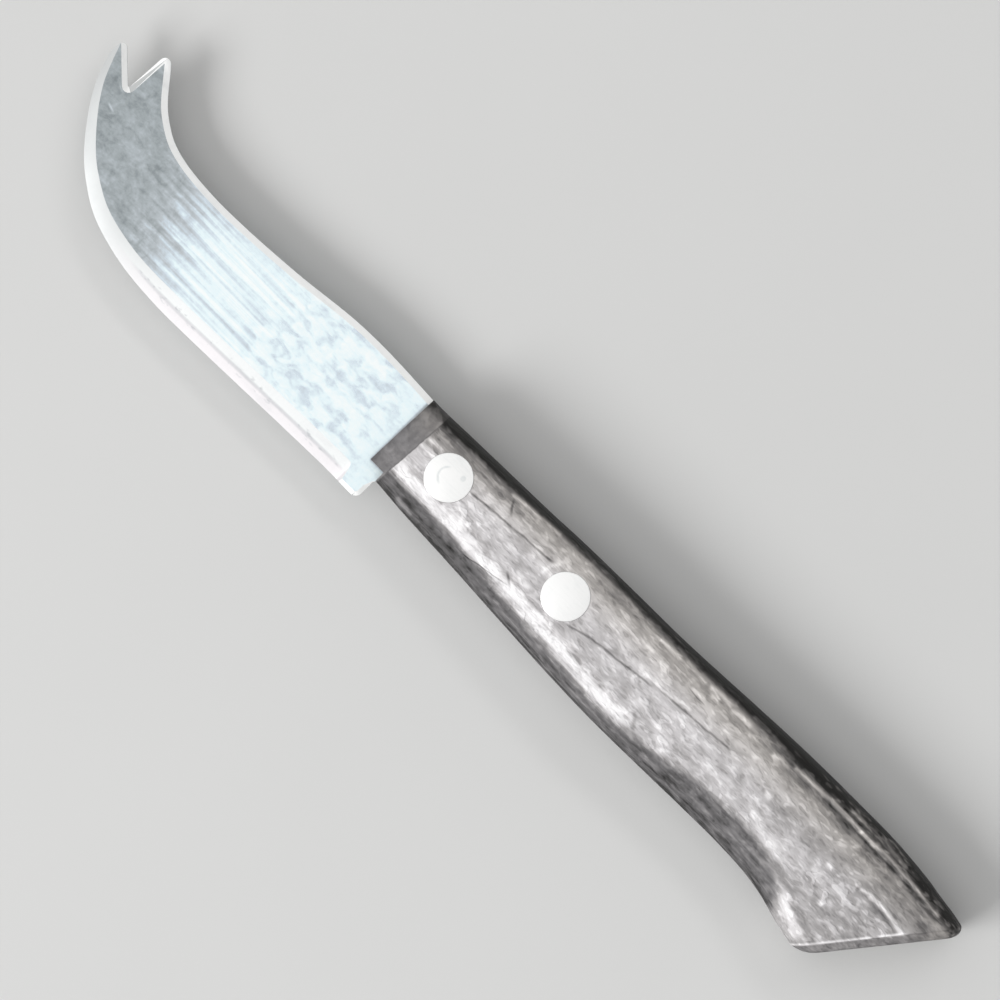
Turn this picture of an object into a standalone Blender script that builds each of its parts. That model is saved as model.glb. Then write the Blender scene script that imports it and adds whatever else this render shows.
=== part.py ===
"""A fork-tipped cheese knife: a ground steel blade whose half tang is riveted into a sawn wooden handle.

Metres, +Z up. The knife lies on its side on z = 0. +X runs along the rivet line from the tip to the butt,
and +Y from the cutting edge to the spine. The origin is on the handle's lower face, midway between the two
rivets. Every piece is modelled about the knife's middle plane and hung on one empty at that height.
"""

import math

import bmesh
import bpy
from mathutils import Vector
from mathutils.geometry import interpolate_bezier

# Fit between pieces
CLEARANCE = 0.0003

# Rivets, each a tube with a head that a pin with a head is pressed into
RIVET_PITCH = 0.0265
RIVET_HEAD_DIAMETER = 0.0080
RIVET_HEAD_THICKNESS = 0.0016
BARREL_DIAMETER = 0.0050
BARREL_BORE = 0.0036
RIVET_EDGE_BREAK = 0.00015
RIVET_STEPS = 48

# Handle, whose length is measured on the rivet line
HANDLE_LENGTH = 0.1146
HANDLE_THICKNESS = 0.0130
FRONT_TO_RIVET = 0.0107
FRONT_LEAN = math.radians(1.5)
BUTT_RAKE = math.radians(51.7)
BUTT_ROUNDING = 0.0015
ROUNDING_HEIGHT = 0.0052
LEAST_SIDE_FLAT = 0.0005
CHAMFER_RUN = 0.0037
CHAMFER_SKEW = 0.06
FRONT_LIP = 0.0020
NOTCH_REACH = 0.00285
NOTCH_TOP = -0.0068

# Where on the rivet line the handle's rings turn from the front's lean to the butt's rake, and their spacing
RAKE_FROM_FRONT = 0.0515
RAKE_FROM_BUTT = 0.0115
FRONT_ZONE = 0.0090
BUTT_ZONE = 0.0100
RIM_GAP = 0.0022
CLOSE_SPACING = 0.0009
WIDE_SPACING = 0.0026
CORNER_STEPS = 7

# The handle's two sides and how far the rounding of each reaches in, as (distance, value) pairs
SPINE_SIDE_FROM_FRONT = (
    (0.0, 0.0070), (0.003, 0.0070), (0.008, 0.0072), (0.014, 0.0074),
    (0.026, 0.0078), (0.034, 0.0082), (0.046, 0.0085), (0.056, 0.0087),
)
SPINE_SIDE_FROM_BUTT = (
    (-0.0370, 0.0099), (-0.0287, 0.0102), (-0.0207, 0.0103), (-0.0127, 0.0103), (-0.0047, 0.0097),
    (-0.0007, 0.0091), (0.0024, 0.0087), (0.0046, 0.0082), (0.0059, 0.0075), (0.0066, 0.0060),
)
BELLY_SIDE_FROM_FRONT = (
    (0.0, -0.0086), (0.0040, -0.0088), (0.0095, -0.0092), (0.022, -0.0097),
    (0.034, -0.0103), (0.046, -0.0108), (0.056, -0.0109),
)
BELLY_SIDE_FROM_BUTT = (
    (-0.0350, -0.0103), (-0.0287, -0.0104), (-0.0247, -0.0107), (-0.0207, -0.0114),
    (-0.0167, -0.0125), (-0.0127, -0.0133), (-0.0097, -0.0136),
)
SPINE_ROUNDING_FROM_FRONT = ((0.0, 0.0027), (0.004, 0.0022), (0.024, 0.0018), (0.056, 0.0019))
SPINE_ROUNDING_FROM_BUTT = ((-0.0370, 0.0026), (-0.020, 0.0029), (0.0058, 0.0026))
BELLY_ROUNDING_FROM_FRONT = (
    (0.0, 0.0029), (0.010, 0.0031), (0.024, 0.0031), (0.044, 0.0026), (0.056, 0.0024),
)
BELLY_ROUNDING_FROM_BUTT = (
    (-0.0400, 0.0049), (-0.033, 0.0050), (-0.025, 0.0042), (-0.0167, 0.0031), (0.0, 0.0027),
)

# Blade, whose length is measured from the handle's front to the tip of the long prong
BLADE_LENGTH = 0.0759
BLADE_THICKNESS = 0.0015
HEEL_SETBACK = 0.00265
HEEL_RADIUS = 0.0013
HEEL_DEPTH = -0.0130
EDGE_HALF_THICKNESS = 0.00005
EDGE_WIDTH = 0.0018
GRIND_DEPTH = 0.00029
GRIND_WIDTH = 0.0036
GRIND_WIDTH_AT_TIP = 0.0010
GRIND_RUN = 0.045
GRIND_STOP = 0.0037
GRIND_PLUNGE = 0.0012
BREAK_WIDTH = 0.00105
BREAK_DEPTH = 0.0004
FORK_BREAK_WIDTH = 0.0009
HEEL_BREAK_WIDTH = 0.0007
HEEL_BREAK_DEPTH = 0.0003
HEEL_BREAK_FADE = 0.0008

# The blade's cutting edge and spine. Each point's X is measured from the tip, the heel or the handle's front
EDGE_FROM_TIP = (
    (0.00005, 0.0089), (0.0017, 0.0044), (0.0044, -0.0001), (0.0085, -0.0051), (0.0120, -0.0081),
    (0.0170, -0.0111), (0.0238, -0.0131), (0.02985, -0.0139), (0.03785, -0.0141),
)
EDGE_FROM_HEEL = ((-0.0087, -0.0130),)
SPINE_FROM_TIP = (
    (0.0089, 0.0140), (0.0121, 0.0102), (0.0144, 0.0082),
    (0.01815, 0.0061), (0.0235, 0.0050), (0.0318, 0.0047),
)
SPINE_FROM_FRONT = ((-0.0300, 0.0056), (-0.0180, 0.0070), (-0.0100, 0.00725))

# The fork, as the sharp corners that its roundings are put on
LONG_PRONG_TIP = (0.0001, 0.0128)
LONG_PRONG_RADIUS = 0.0008
SHORT_PRONG_TIP = (0.0067, 0.0163)
SHORT_PRONG_RADIUS = 0.00095
NOTCH_BOTTOM = (0.0062, 0.0070)
NOTCH_RADIUS = 0.00025
FILE_RADIUS = 0.00018
FILE_NOSE_RADIUS = 0.00003

# Tang
TANG_LENGTH = 0.0500
TANG_SET_IN = 0.0001
TANG_CORNER_RADIUS = 0.0020
TANG_NECK_RADIUS = 0.0005
SAW_RADIUS = 0.0600

# How finely curves are cut into straight pieces, and how far a cutter reaches past what it cuts
EDGE_STEPS = 8
SPINE_STEPS = 7
TANG_STEPS = 12
FILLET_STEPS = 6
FILE_STEPS = 5
PLUNGE_STEPS = 5
OVERSHOOT = 0.0030
LIFT = 0.0004
HEEL_LIFT = 0.0002
LEAST_STEP = 0.0001
SIDE_REACH = 0.0200

# Places that follow from the sizes
FRONT_X = -RIVET_PITCH / 2 - FRONT_TO_RIVET
BUTT_X = FRONT_X + HANDLE_LENGTH
TIP_X = FRONT_X - BLADE_LENGTH
HEEL_X = FRONT_X + HEEL_SETBACK
TANG_END_X = FRONT_X + TANG_LENGTH
HALF_BLADE = BLADE_THICKNESS / 2
HALF_HANDLE = HANDLE_THICKNESS / 2
SHOULDER_HALF = HALF_BLADE - GRIND_DEPTH


def clear_scene():
    for obj in list(bpy.data.objects):
        bpy.data.objects.remove(obj)


def finish(name, colour, roughness, metallic):
    """A Principled material."""
    material = bpy.data.materials.new(name)
    material.use_nodes = True
    shader = material.node_tree.nodes["Principled BSDF"]
    shader.inputs["Base Color"].default_value = (*colour, 1.0)
    shader.inputs["Roughness"].default_value = roughness
    shader.inputs["Metallic"].default_value = metallic
    return material


def solid(name, shape, parent, material=None, at=(0.0, 0.0, 0.0), smooth_angle=math.radians(25)):
    """An object made of a bmesh, with its faces pointing out."""
    bmesh.ops.recalc_face_normals(shape, faces=shape.faces)
    mesh = bpy.data.meshes.new(name)
    shape.to_mesh(mesh)
    shape.free()
    mesh.shade_smooth()
    mesh.set_sharp_from_angle(angle=smooth_angle)
    obj = bpy.data.objects.new(name, mesh)
    bpy.context.scene.collection.objects.link(obj)
    obj.parent = parent
    obj.location = at
    if material:
        mesh.materials.append(material)
    return obj


def cut(target, cutters):
    """Takes the cutters' shapes out of the target in one go, and keeps the cutters as hidden helpers."""
    tools = bpy.data.collections.new(f"{target.name} cutters")
    bpy.context.scene.collection.children.link(tools)
    for cutter in cutters:
        bpy.context.scene.collection.objects.unlink(cutter)
        tools.objects.link(cutter)
        cutter.hide_render = True
        cutter.display_type = "WIRE"
    modifier = target.modifiers.new("cut", "BOOLEAN")
    modifier.operation = "DIFFERENCE"
    modifier.solver = "EXACT"
    modifier.operand_type = "COLLECTION"
    modifier.collection = tools


def loft(rings):
    """A closed shape through rings of points, each with the same number of points, with both ends capped."""
    shape = bmesh.new()
    rows = [[shape.verts.new(point) for point in ring] for ring in rings]
    for near, far in zip(rows[:-1], rows[1:]):
        for i in range(len(near)):
            j = (i + 1) % len(near)
            shape.faces.new((near[i], near[j], far[j], far[i]))
    shape.faces.new(rows[0])
    shape.faces.new(rows[-1])
    bmesh.ops.recalc_face_normals(shape, faces=shape.faces)
    return shape


def prism(outline, low, high):
    """A flat outline given thickness between two heights."""
    shape = bmesh.new()
    face = shape.faces.new([shape.verts.new((x, y, low)) for x, y in outline])
    raised = bmesh.ops.extrude_face_region(shape, geom=[face])
    top = [item for item in raised["geom"] if isinstance(item, bmesh.types.BMVert)]
    bmesh.ops.translate(shape, verts=top, vec=(0, 0, high - low))
    return shape


def turned(profile, steps=RIVET_STEPS):
    """A profile of (radius, height) points, which starts and ends on the Z axis, spun into a closed shape."""
    shape = bmesh.new()
    points = [shape.verts.new((radius, 0, height)) for radius, height in profile]
    edges = [shape.edges.new(pair) for pair in zip(points[:-1], points[1:])]
    bmesh.ops.spin(
        shape, geom=points + edges, cent=(0, 0, 0), axis=(0, 0, 1), angle=2 * math.pi,
        steps=steps, use_merge=True,
    )
    bmesh.ops.remove_doubles(shape, verts=shape.verts, dist=1e-7)
    return shape


def smooth_path(points, steps):
    """A smooth path through 2-D points, of Bezier curves whose handles follow the neighbouring points."""
    knots = [Vector(point) for point in points]
    headings = []
    for i in range(len(knots)):
        before, after = knots[max(i - 1, 0)], knots[min(i + 1, len(knots) - 1)]
        headings.append((after - before).normalized())
    path = [knots[0]]
    for i in range(len(knots) - 1):
        reach = (knots[i + 1] - knots[i]).length / 3
        handle_out = knots[i] + headings[i] * reach
        handle_in = knots[i + 1] - headings[i + 1] * reach
        path += interpolate_bezier(knots[i], handle_out, handle_in, knots[i + 1], steps + 1)[1:]
    return path


def smooth_value(stations, x):
    """The value at x of a smooth curve through (x, value) stations."""
    if x <= stations[0][0]:
        return stations[0][1]
    if x >= stations[-1][0]:
        return stations[-1][1]

    def slope(i):
        before, after = stations[max(i - 1, 0)], stations[min(i + 1, len(stations) - 1)]
        return (after[1] - before[1]) / (after[0] - before[0])

    i = max(k for k, (start, _) in enumerate(stations) if start <= x)
    (x0, y0), (x1, y1) = stations[i], stations[i + 1]
    span = x1 - x0
    t = (x - x0) / span
    return (
        y0 * (2 * t**3 - 3 * t**2 + 1)
        + slope(i) * span * (t**3 - 2 * t**2 + t)
        + y1 * (3 * t**2 - 2 * t**3)
        + slope(i + 1) * span * (t**3 - t**2)
    )


def rounded(before, corner, after, radius, steps=FILLET_STEPS):
    """The points of an arc that rounds a corner between two others."""
    before, corner, after = Vector(before), Vector(corner), Vector(after)
    towards_before, towards_after = (before - corner).normalized(), (after - corner).normalized()
    half_angle = towards_before.angle(towards_after) / 2
    middle = (towards_before + towards_after).normalized()
    centre = corner + middle * radius / math.sin(half_angle)
    start = corner + towards_before * radius / math.tan(half_angle) - centre
    end = corner + towards_after * radius / math.tan(half_angle) - centre
    turn = start.angle_signed(end)
    points = []
    for i in range(steps + 1):
        angle = -turn * i / steps
        cos, sin = math.cos(angle), math.sin(angle)
        points.append(centre + Vector((start.x * cos - start.y * sin, start.x * sin + start.y * cos)))
    return points


def placed(pairs, datum):
    """(distance, value) pairs moved to a datum on the X axis."""
    return [(datum + distance, value) for distance, value in pairs]


SPINE_SIDE = placed(SPINE_SIDE_FROM_FRONT, FRONT_X) + placed(SPINE_SIDE_FROM_BUTT, BUTT_X)
BELLY_SIDE = placed(BELLY_SIDE_FROM_FRONT, FRONT_X) + placed(BELLY_SIDE_FROM_BUTT, BUTT_X)
SPINE_ROUNDING = placed(SPINE_ROUNDING_FROM_FRONT, FRONT_X) + placed(SPINE_ROUNDING_FROM_BUTT, BUTT_X)
BELLY_ROUNDING = placed(BELLY_ROUNDING_FROM_FRONT, FRONT_X) + placed(BELLY_ROUNDING_FROM_BUTT, BUTT_X)


# Handle


def side_crossing(side, x, lean):
    """Where the line through (x, 0) that leans by lean (X per Y) meets one side of the handle."""
    low, high = sorted((0.0, math.copysign(SIDE_REACH, side[0][1])))
    for _ in range(40):
        y = (low + high) / 2
        if y > smooth_value(side, x + lean * y):
            high = y
        else:
            low = y
    return y


def handle_section(x, lean):
    """One ring of the handle: flat faces above and below, and quarter ellipses down to both sides."""
    spine, belly = side_crossing(SPINE_SIDE, x, lean), side_crossing(BELLY_SIDE, x, lean)
    spine_reach = smooth_value(SPINE_ROUNDING, x + lean * spine)
    belly_reach = smooth_value(BELLY_ROUNDING, x + lean * belly)
    height = min(ROUNDING_HEIGHT, HALF_HANDLE - LEAST_SIDE_FLAT)
    corner_z = HALF_HANDLE - height
    corners = (
        (spine - spine_reach, corner_z, spine_reach, 0),
        (belly + belly_reach, corner_z, belly_reach, 90),
        (belly + belly_reach, -corner_z, belly_reach, 180),
        (spine - spine_reach, -corner_z, spine_reach, 270),
    )
    ring = []
    for centre_y, centre_z, reach, start in corners:
        for i in range(CORNER_STEPS + 1):
            angle = math.radians(start + 90 * i / CORNER_STEPS)
            y = centre_y + reach * math.cos(angle)
            z = centre_z + height * math.sin(angle)
            ring.append((x + lean * y, y, z))
    return ring


def spaced(start, length, spacing):
    """Evenly spaced places from a start, without the last."""
    count = round(length / spacing)
    return [start + length * i / count for i in range(count)]


def handle_stations():
    """Where the handle's rings cross the rivet line: closer together at the front corner and by the butt."""
    middle = HANDLE_LENGTH - FRONT_ZONE - BUTT_ZONE
    stations = spaced(FRONT_X, FRONT_ZONE, CLOSE_SPACING)
    stations += spaced(FRONT_X + FRONT_ZONE, middle, WIDE_SPACING)
    stations += spaced(BUTT_X - BUTT_ZONE, BUTT_ZONE - RIM_GAP, CLOSE_SPACING)
    return stations + [BUTT_X - RIM_GAP, BUTT_X]


def lean_at(x):
    """How far the handle's rings lean: square at the front, then turning smoothly to the butt's rake."""
    start, end = FRONT_X + RAKE_FROM_FRONT, BUTT_X - RAKE_FROM_BUTT
    t = min(max((x - start) / (end - start), 0.0), 1.0)
    eased = t * t * (3 - 2 * t)
    return math.tan(FRONT_LEAN) * (1 - eased) + eased / math.tan(BUTT_RAKE)


def chamfer_front(shape, up):
    """Cuts one slope of the handle's front, from the lip beside the blade out to the upper or lower face.

    It is filed askew: it reaches further back at the spine than at the belly.
    """
    lip = HALF_BLADE + CLEARANCE + FRONT_LIP
    foot = Vector((FRONT_X, 0, up * lip))
    rise = Vector((CHAMFER_RUN, 0, up * (HALF_HANDLE - lip)))
    outward = rise.cross(Vector((CHAMFER_SKEW, 1, 0))) * up
    bmesh.ops.bisect_plane(
        shape, geom=shape.verts[:] + shape.edges[:] + shape.faces[:], dist=1e-7,
        plane_co=foot, plane_no=outward, clear_outer=True,
    )
    rim = [edge for edge in shape.edges if edge.is_boundary]
    bmesh.ops.contextual_create(shape, geom=rim)


def build_handle(knife, material):
    """The handle, one piece of wood: lofted, rounded at the butt, sloped in front, notched, sawn and drilled."""
    stations = handle_stations()
    shape = loft([handle_section(x, lean_at(x)) for x in stations])
    shape.faces.ensure_lookup_table()
    butt_rim = list(shape.faces[-1].edges)
    bmesh.ops.bevel(
        shape, geom=butt_rim, offset=BUTT_ROUNDING, offset_type="OFFSET", segments=4, profile=0.5,
        affect="EDGES", material=-1,
    )
    chamfer_front(shape, 1)
    chamfer_front(shape, -1)
    handle = solid("handle", shape, knife, material)
    holes = [build_rivet_hole(knife, f"rivet_hole_{i + 1}", x) for i, x in enumerate(rivet_places())]
    cut(handle, [build_heel_notch(knife), build_saw_cut(knife), *holes])


def build_heel_notch(knife):
    """The shape of the square notch in the handle's front corner, which leaves the blade's heel bare."""
    left, right = FRONT_X - OVERSHOOT, FRONT_X + NOTCH_REACH
    low = -SIDE_REACH
    outline = [Vector((left, NOTCH_TOP)), Vector((left, low)), Vector((right, low)), Vector((right, NOTCH_TOP))]
    past = HALF_HANDLE + OVERSHOOT
    return solid("heel_notch", prism(outline, -past, past), knife)


def saw_arc(radius, low, high, steps=TANG_STEPS):
    """Points up an arc about the saw's centre, between two heights above the rivet line."""
    centre_x = TANG_END_X + CLEARANCE - SAW_RADIUS
    points = []
    for i in range(steps + 1):
        y = low + (high - low) * i / steps
        points.append(Vector((centre_x + math.sqrt(radius**2 - y**2), y)))
    return points


def build_saw_cut(knife):
    """The saw cut's shape, right through the handle from side to side, with the saw's arc at its end."""
    mouth = FRONT_X - OVERSHOOT
    outline = [Vector((mouth, SIDE_REACH)), Vector((mouth, -SIDE_REACH))]
    outline += saw_arc(SAW_RADIUS, -SIDE_REACH, SIDE_REACH)
    half = HALF_BLADE + CLEARANCE
    return solid("saw_cut", prism(outline, -half, half), knife)


def build_rivet_hole(knife, name, x):
    """The stepped hole for a rivet: a seat for each head and a smaller bore for the barrel between them."""
    seat = HALF_HANDLE - RIVET_HEAD_THICKNESS - CLEARANCE
    past = HALF_HANDLE + OVERSHOOT
    wide = RIVET_HEAD_DIAMETER / 2 + CLEARANCE
    narrow = BARREL_DIAMETER / 2 + CLEARANCE
    profile = (
        (0, -past), (wide, -past), (wide, -seat), (narrow, -seat),
        (narrow, seat), (wide, seat), (wide, past), (0, past),
    )
    return solid(name, turned(profile), knife, at=(x, 0, 0))


# Blade


def from_tip(point):
    return Vector((TIP_X + point[0], point[1]))


def cutting_edge():
    """The cutting edge's path from the long prong back to the heel's bottom corner."""
    points = [from_tip(point) for point in EDGE_FROM_TIP]
    points += [Vector(point) for point in placed(EDGE_FROM_HEEL, HEEL_X)]
    return smooth_path(points + [Vector((HEEL_X, HEEL_DEPTH))], EDGE_STEPS)


def spine():
    """The spine's path from the short prong back to the handle's front."""
    points = [from_tip(point) for point in SPINE_FROM_TIP]
    points += [Vector(point) for point in placed(SPINE_FROM_FRONT, FRONT_X)]
    return smooth_path(points + [Vector((FRONT_X, tang_top(FRONT_X)))], SPINE_STEPS)


def tang_top(x):
    return smooth_value(SPINE_SIDE, x) - TANG_SET_IN


def tang_bottom(x):
    return smooth_value(BELLY_SIDE, x) + TANG_SET_IN


def tang_outline():
    """The tang, flush with the handle's sides, from the heel's neck round its end and back to the front."""
    end = TANG_END_X - TANG_CORNER_RADIUS
    start = HEEL_X + TANG_NECK_RADIUS
    eased = [(i / TANG_STEPS) ** 2 for i in range(1, TANG_STEPS)]
    below = [start + (end - start) * share for share in eased]
    above = [FRONT_X + (end - FRONT_X) * share for share in reversed(eased)]
    lower = [Vector((x, tang_bottom(x))) for x in below]
    upper = [Vector((x, tang_top(x))) for x in above]
    radius = SAW_RADIUS - CLEARANCE
    end_arc = saw_arc(radius, tang_bottom(TANG_END_X), tang_top(TANG_END_X))
    low_corner = rounded(lower[-1], end_arc[0], end_arc[1], TANG_CORNER_RADIUS)
    high_corner = rounded(end_arc[-2], end_arc[-1], upper[0], TANG_CORNER_RADIUS)
    inner = [p for p in end_arc if low_corner[-1].y < p.y < high_corner[0].y]
    return lower + low_corner + inner + high_corner + upper


def blade_outline():
    """The stamped blank's outline, anticlockwise from the long prong."""
    edge, back, tang = cutting_edge(), spine(), tang_outline()
    long_tip, short_tip, notch = from_tip(LONG_PRONG_TIP), from_tip(SHORT_PRONG_TIP), from_tip(NOTCH_BOTTOM)
    neck = Vector((HEEL_X, tang_bottom(HEEL_X)))
    outline = rounded(notch, long_tip, edge[0], LONG_PRONG_RADIUS)
    before_heel = [point for point in edge if point.x < HEEL_X - HEEL_RADIUS - LEAST_STEP]
    outline += before_heel
    outline += rounded(before_heel[-1], edge[-1], neck, HEEL_RADIUS)
    outline += rounded(edge[-1], neck, tang[0], TANG_NECK_RADIUS)
    outline += tang
    outline += reversed(back)
    outline += rounded(back[0], short_tip, notch, SHORT_PRONG_RADIUS)
    outline += rounded(short_tip, notch, long_tip, NOTCH_RADIUS)
    return outline


def cutter_path(path, start, end):
    """The path a cutter follows: halfway between a side's own points, and on past each end."""
    first = path[0] + (path[0] - path[1]).normalized() * start
    last = path[-1] + (path[-1] - path[-2]).normalized() * end
    between = [(near + far) / 2 for near, far in zip(path[:-1], path[1:])]
    return [first, *between, last]


def swept_cutter(path, section_at, inward):
    """A cutter whose section follows a path: section_at gives its (reach into the blade, height) points.

    It is made of triangles, since a sweep round a curve has no flat four-sided faces to cut with.
    """
    rings = []
    distance = 0.0
    for i, point in enumerate(path):
        before, after = path[max(i - 1, 0)], path[min(i + 1, len(path) - 1)]
        along = (after - before).normalized()
        normal = Vector((-along.y, along.x)) * inward
        if i:
            distance += (point - path[i - 1]).length
        rings.append([(*(point + normal * reach), height) for reach, height in section_at(distance)])
    shape = loft(rings)
    bmesh.ops.triangulate(shape, faces=shape.faces)
    return shape


def path_length(path):
    return sum((far - near).length for near, far in zip(path[:-1], path[1:]))


def on_path(path, x):
    """The point of a path that runs along +X at a given X."""
    near, far = next(pair for pair in zip(path[:-1], path[1:]) if pair[1].x >= x)
    return near.lerp(far, (x - near.x) / (far.x - near.x))


def grind_path():
    """The grinding wheel's path: along the cutting edge, and up out of the steel before the heel."""
    edge = cutting_edge()
    start = HEEL_X - GRIND_STOP - GRIND_PLUNGE
    step = GRIND_PLUNGE / PLUNGE_STEPS
    path = [point for point in cutter_path(edge, OVERSHOOT, 0) if point.x < start - step]
    return path + [on_path(edge, start + step * i) for i in range(PLUNGE_STEPS + 1)]


def heel_path():
    """The path round the heel's unground corner, from where the grinding ends up to the tang's neck."""
    edge = cutting_edge()
    start = on_path(edge, HEEL_X - GRIND_STOP - GRIND_PLUNGE)
    neck = Vector((HEEL_X, tang_bottom(HEEL_X)))
    corner = rounded(start, edge[-1], neck, HEEL_RADIUS)
    return cutter_path([start, *corner, neck - Vector((0, HEEL_BREAK_FADE)), neck], 0, 0)


def grind_section(side, length):
    """The grinding cut on one side of the blade: the main bevel, then the steeper one at the very edge.

    Over the last stretch of its path the wheel, whose rim is an arc, rises out of the steel.
    """
    wheel_radius = (GRIND_PLUNGE**2 + HALF_BLADE**2) / (2 * HALF_BLADE)

    def section_at(distance):
        into_plunge = min(max(distance - length + GRIND_PLUNGE, 0.0), GRIND_PLUNGE)
        rise = wheel_radius - math.sqrt(wheel_radius**2 - into_plunge**2)
        share = min(max((distance - OVERSHOOT) / GRIND_RUN, 0.0), 1.0)
        width = GRIND_WIDTH_AT_TIP + (GRIND_WIDTH - GRIND_WIDTH_AT_TIP) * share
        edge_width = EDGE_WIDTH * width / GRIND_WIDTH
        main_slope = (HALF_BLADE - SHOULDER_HALF) / (width - edge_width)
        edge_slope = (SHOULDER_HALF - EDGE_HALF_THICKNESS) / edge_width
        past = LIFT / main_slope
        points = (
            (width + past, HALF_BLADE + LIFT),
            (edge_width, SHOULDER_HALF),
            (-OVERSHOOT, EDGE_HALF_THICKNESS - edge_slope * OVERSHOOT),
            (-OVERSHOOT, HALF_BLADE + LIFT),
        )
        return [(reach, side * (height + rise)) for reach, height in points]

    return section_at


def heel_break_section(side, length):
    """The cut that breaks one sharp edge of the heel, and fades out before the tang."""
    slope = HEEL_BREAK_DEPTH / HEEL_BREAK_WIDTH
    past = HEEL_BREAK_WIDTH / 2
    points = (
        (HEEL_BREAK_WIDTH + HEEL_LIFT / slope, HALF_BLADE + HEEL_LIFT),
        (-past, HALF_BLADE - HEEL_BREAK_DEPTH - slope * past),
        (-past, HALF_BLADE + HEEL_LIFT),
    )

    def section_at(distance):
        share = max(1 - (length - distance) / HEEL_BREAK_FADE, 0.0)
        rise = (HEEL_BREAK_DEPTH + HEEL_LIFT) * share
        return [(reach, side * (height + rise)) for reach, height in points]

    return section_at


def break_section(side):
    """The cut that breaks one sharp edge of the spine."""
    slope = BREAK_DEPTH / BREAK_WIDTH
    past = BREAK_WIDTH / 2
    points = (
        (BREAK_WIDTH + LIFT / slope, HALF_BLADE + LIFT),
        (-past, HALF_BLADE - BREAK_DEPTH - slope * past),
        (-past, HALF_BLADE + LIFT),
    )
    return lambda distance: [(reach, side * height) for reach, height in points]


def fork_gap(offset):
    """The V between the prongs as an outline, grown into the metal by offset, as a file would cut it."""
    long_tip, short_tip, notch = from_tip(LONG_PRONG_TIP), from_tip(SHORT_PRONG_TIP), from_tip(NOTCH_BOTTOM)
    along_long, along_short = (long_tip - notch).normalized(), (short_tip - notch).normalized()
    half_angle = along_long.angle(along_short) / 2
    bottom = notch - (along_long + along_short).normalized() * offset / math.sin(half_angle)
    far = (short_tip - notch).length * 2
    ends = bottom + along_long * far, bottom + along_short * far
    return [ends[0], *rounded(ends[0], bottom, ends[1], FILE_RADIUS + offset, FILE_STEPS), ends[1]]


def fork_break(side):
    """A cutter with flared sides that breaks the sharp edges between the prongs on one side of the blade."""
    slope = BREAK_DEPTH / FORK_BREAK_WIDTH
    start = FILE_NOSE_RADIUS - FILE_RADIUS
    narrow = (start, HALF_BLADE - BREAK_DEPTH + slope * start)
    wide = (FORK_BREAK_WIDTH + LIFT / slope, HALF_BLADE + LIFT)
    rings = []
    for offset, height in (narrow, wide):
        rings.append([(*point, side * height) for point in fork_gap(offset)])
    return loft(rings)


def build_blade(knife, material):
    """The blade with its tang: stamped from sheet, ground on both sides, forked, and drilled for rivets."""
    blade = solid("blade", prism(blade_outline(), -HALF_BLADE, HALF_BLADE), knife, material)
    edge_path, heel = grind_path(), heel_path()
    spine_path = cutter_path(spine(), OVERSHOOT, HEEL_SETBACK)
    grinding, breaking = path_length(edge_path), path_length(heel)
    cutters = []
    for side, word in ((1, "upper"), (-1, "lower")):
        grind = swept_cutter(edge_path, grind_section(side, grinding), 1)
        heel_break = swept_cutter(heel, heel_break_section(side, breaking), 1)
        cutters.append(solid(f"grind_{word}", grind, knife))
        cutters.append(solid(f"heel_break_{word}", heel_break, knife))
        cutters.append(solid(f"spine_break_{word}", swept_cutter(spine_path, break_section(side), -1), knife))
        cutters.append(solid(f"fork_break_{word}", fork_break(side), knife))
    radius = BARREL_DIAMETER / 2 + CLEARANCE
    past = HALF_BLADE + OVERSHOOT
    for i, x in enumerate(rivet_places()):
        hole = turned(((0, -past), (radius, -past), (radius, past), (0, past)))
        cutters.append(solid(f"tang_hole_{i + 1}", hole, knife, at=(x, 0, 0)))
    cut(blade, cutters)


# Rivets


def rivet_places():
    return (-RIVET_PITCH / 2, RIVET_PITCH / 2)


def build_rivet(knife, name, x, material):
    """One rivet: the tube's head is below and the pin's above, both flush with the wood."""
    radius, edge = RIVET_HEAD_DIAMETER / 2, RIVET_EDGE_BREAK
    face, under = HALF_HANDLE, HALF_HANDLE - RIVET_HEAD_THICKNESS
    barrel, bore = BARREL_DIAMETER / 2, BARREL_BORE / 2
    pin, pin_end = bore - CLEARANCE, -under + CLEARANCE
    tube_profile = (
        (0, -face), (radius - edge, -face), (radius, -face + edge), (radius, -under), (barrel, -under),
        (barrel, under - CLEARANCE), (bore, under - CLEARANCE), (bore, -under), (0, -under),
    )
    pin_profile = (
        (0, pin_end), (pin - edge, pin_end), (pin, pin_end + edge), (pin, under),
        (radius, under), (radius, face - edge), (radius - edge, face), (0, face),
    )
    solid(f"{name}_tube", turned(tube_profile), knife, material, at=(x, 0, 0))
    solid(f"{name}_pin", turned(pin_profile), knife, material, at=(x, 0, 0))


def main():
    clear_scene()
    knife = bpy.data.objects.new("knife", None)
    knife.location = (0, 0, HALF_HANDLE)
    bpy.context.scene.collection.objects.link(knife)
    steel = finish("brushed_steel", (0.72, 0.76, 0.78), 0.30, 1.0)
    wood = finish("dark_weathered_wood", (0.26, 0.24, 0.23), 0.45, 0.0)
    rivet_metal = finish("bright_rivet_metal", (0.88, 0.88, 0.87), 0.28, 1.0)
    build_blade(knife, steel)
    build_handle(knife, wood)
    for name, x in zip(("front_rivet", "rear_rivet"), rivet_places()):
        build_rivet(knife, name, x, rivet_metal)


main()
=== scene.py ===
"""The looks of a cheese knife with a forked tip: worn dark wood, brushed and ground steel, bright rivets.

Metres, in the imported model's frame: +X from tip to butt, +Y from the cutting edge to the spine, +Z up.
The knife lies on its side, and its middle plane is at half the handle's thickness.
"""

import logging
import math
from dataclasses import dataclass
from enum import Enum
from functools import cached_property

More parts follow.
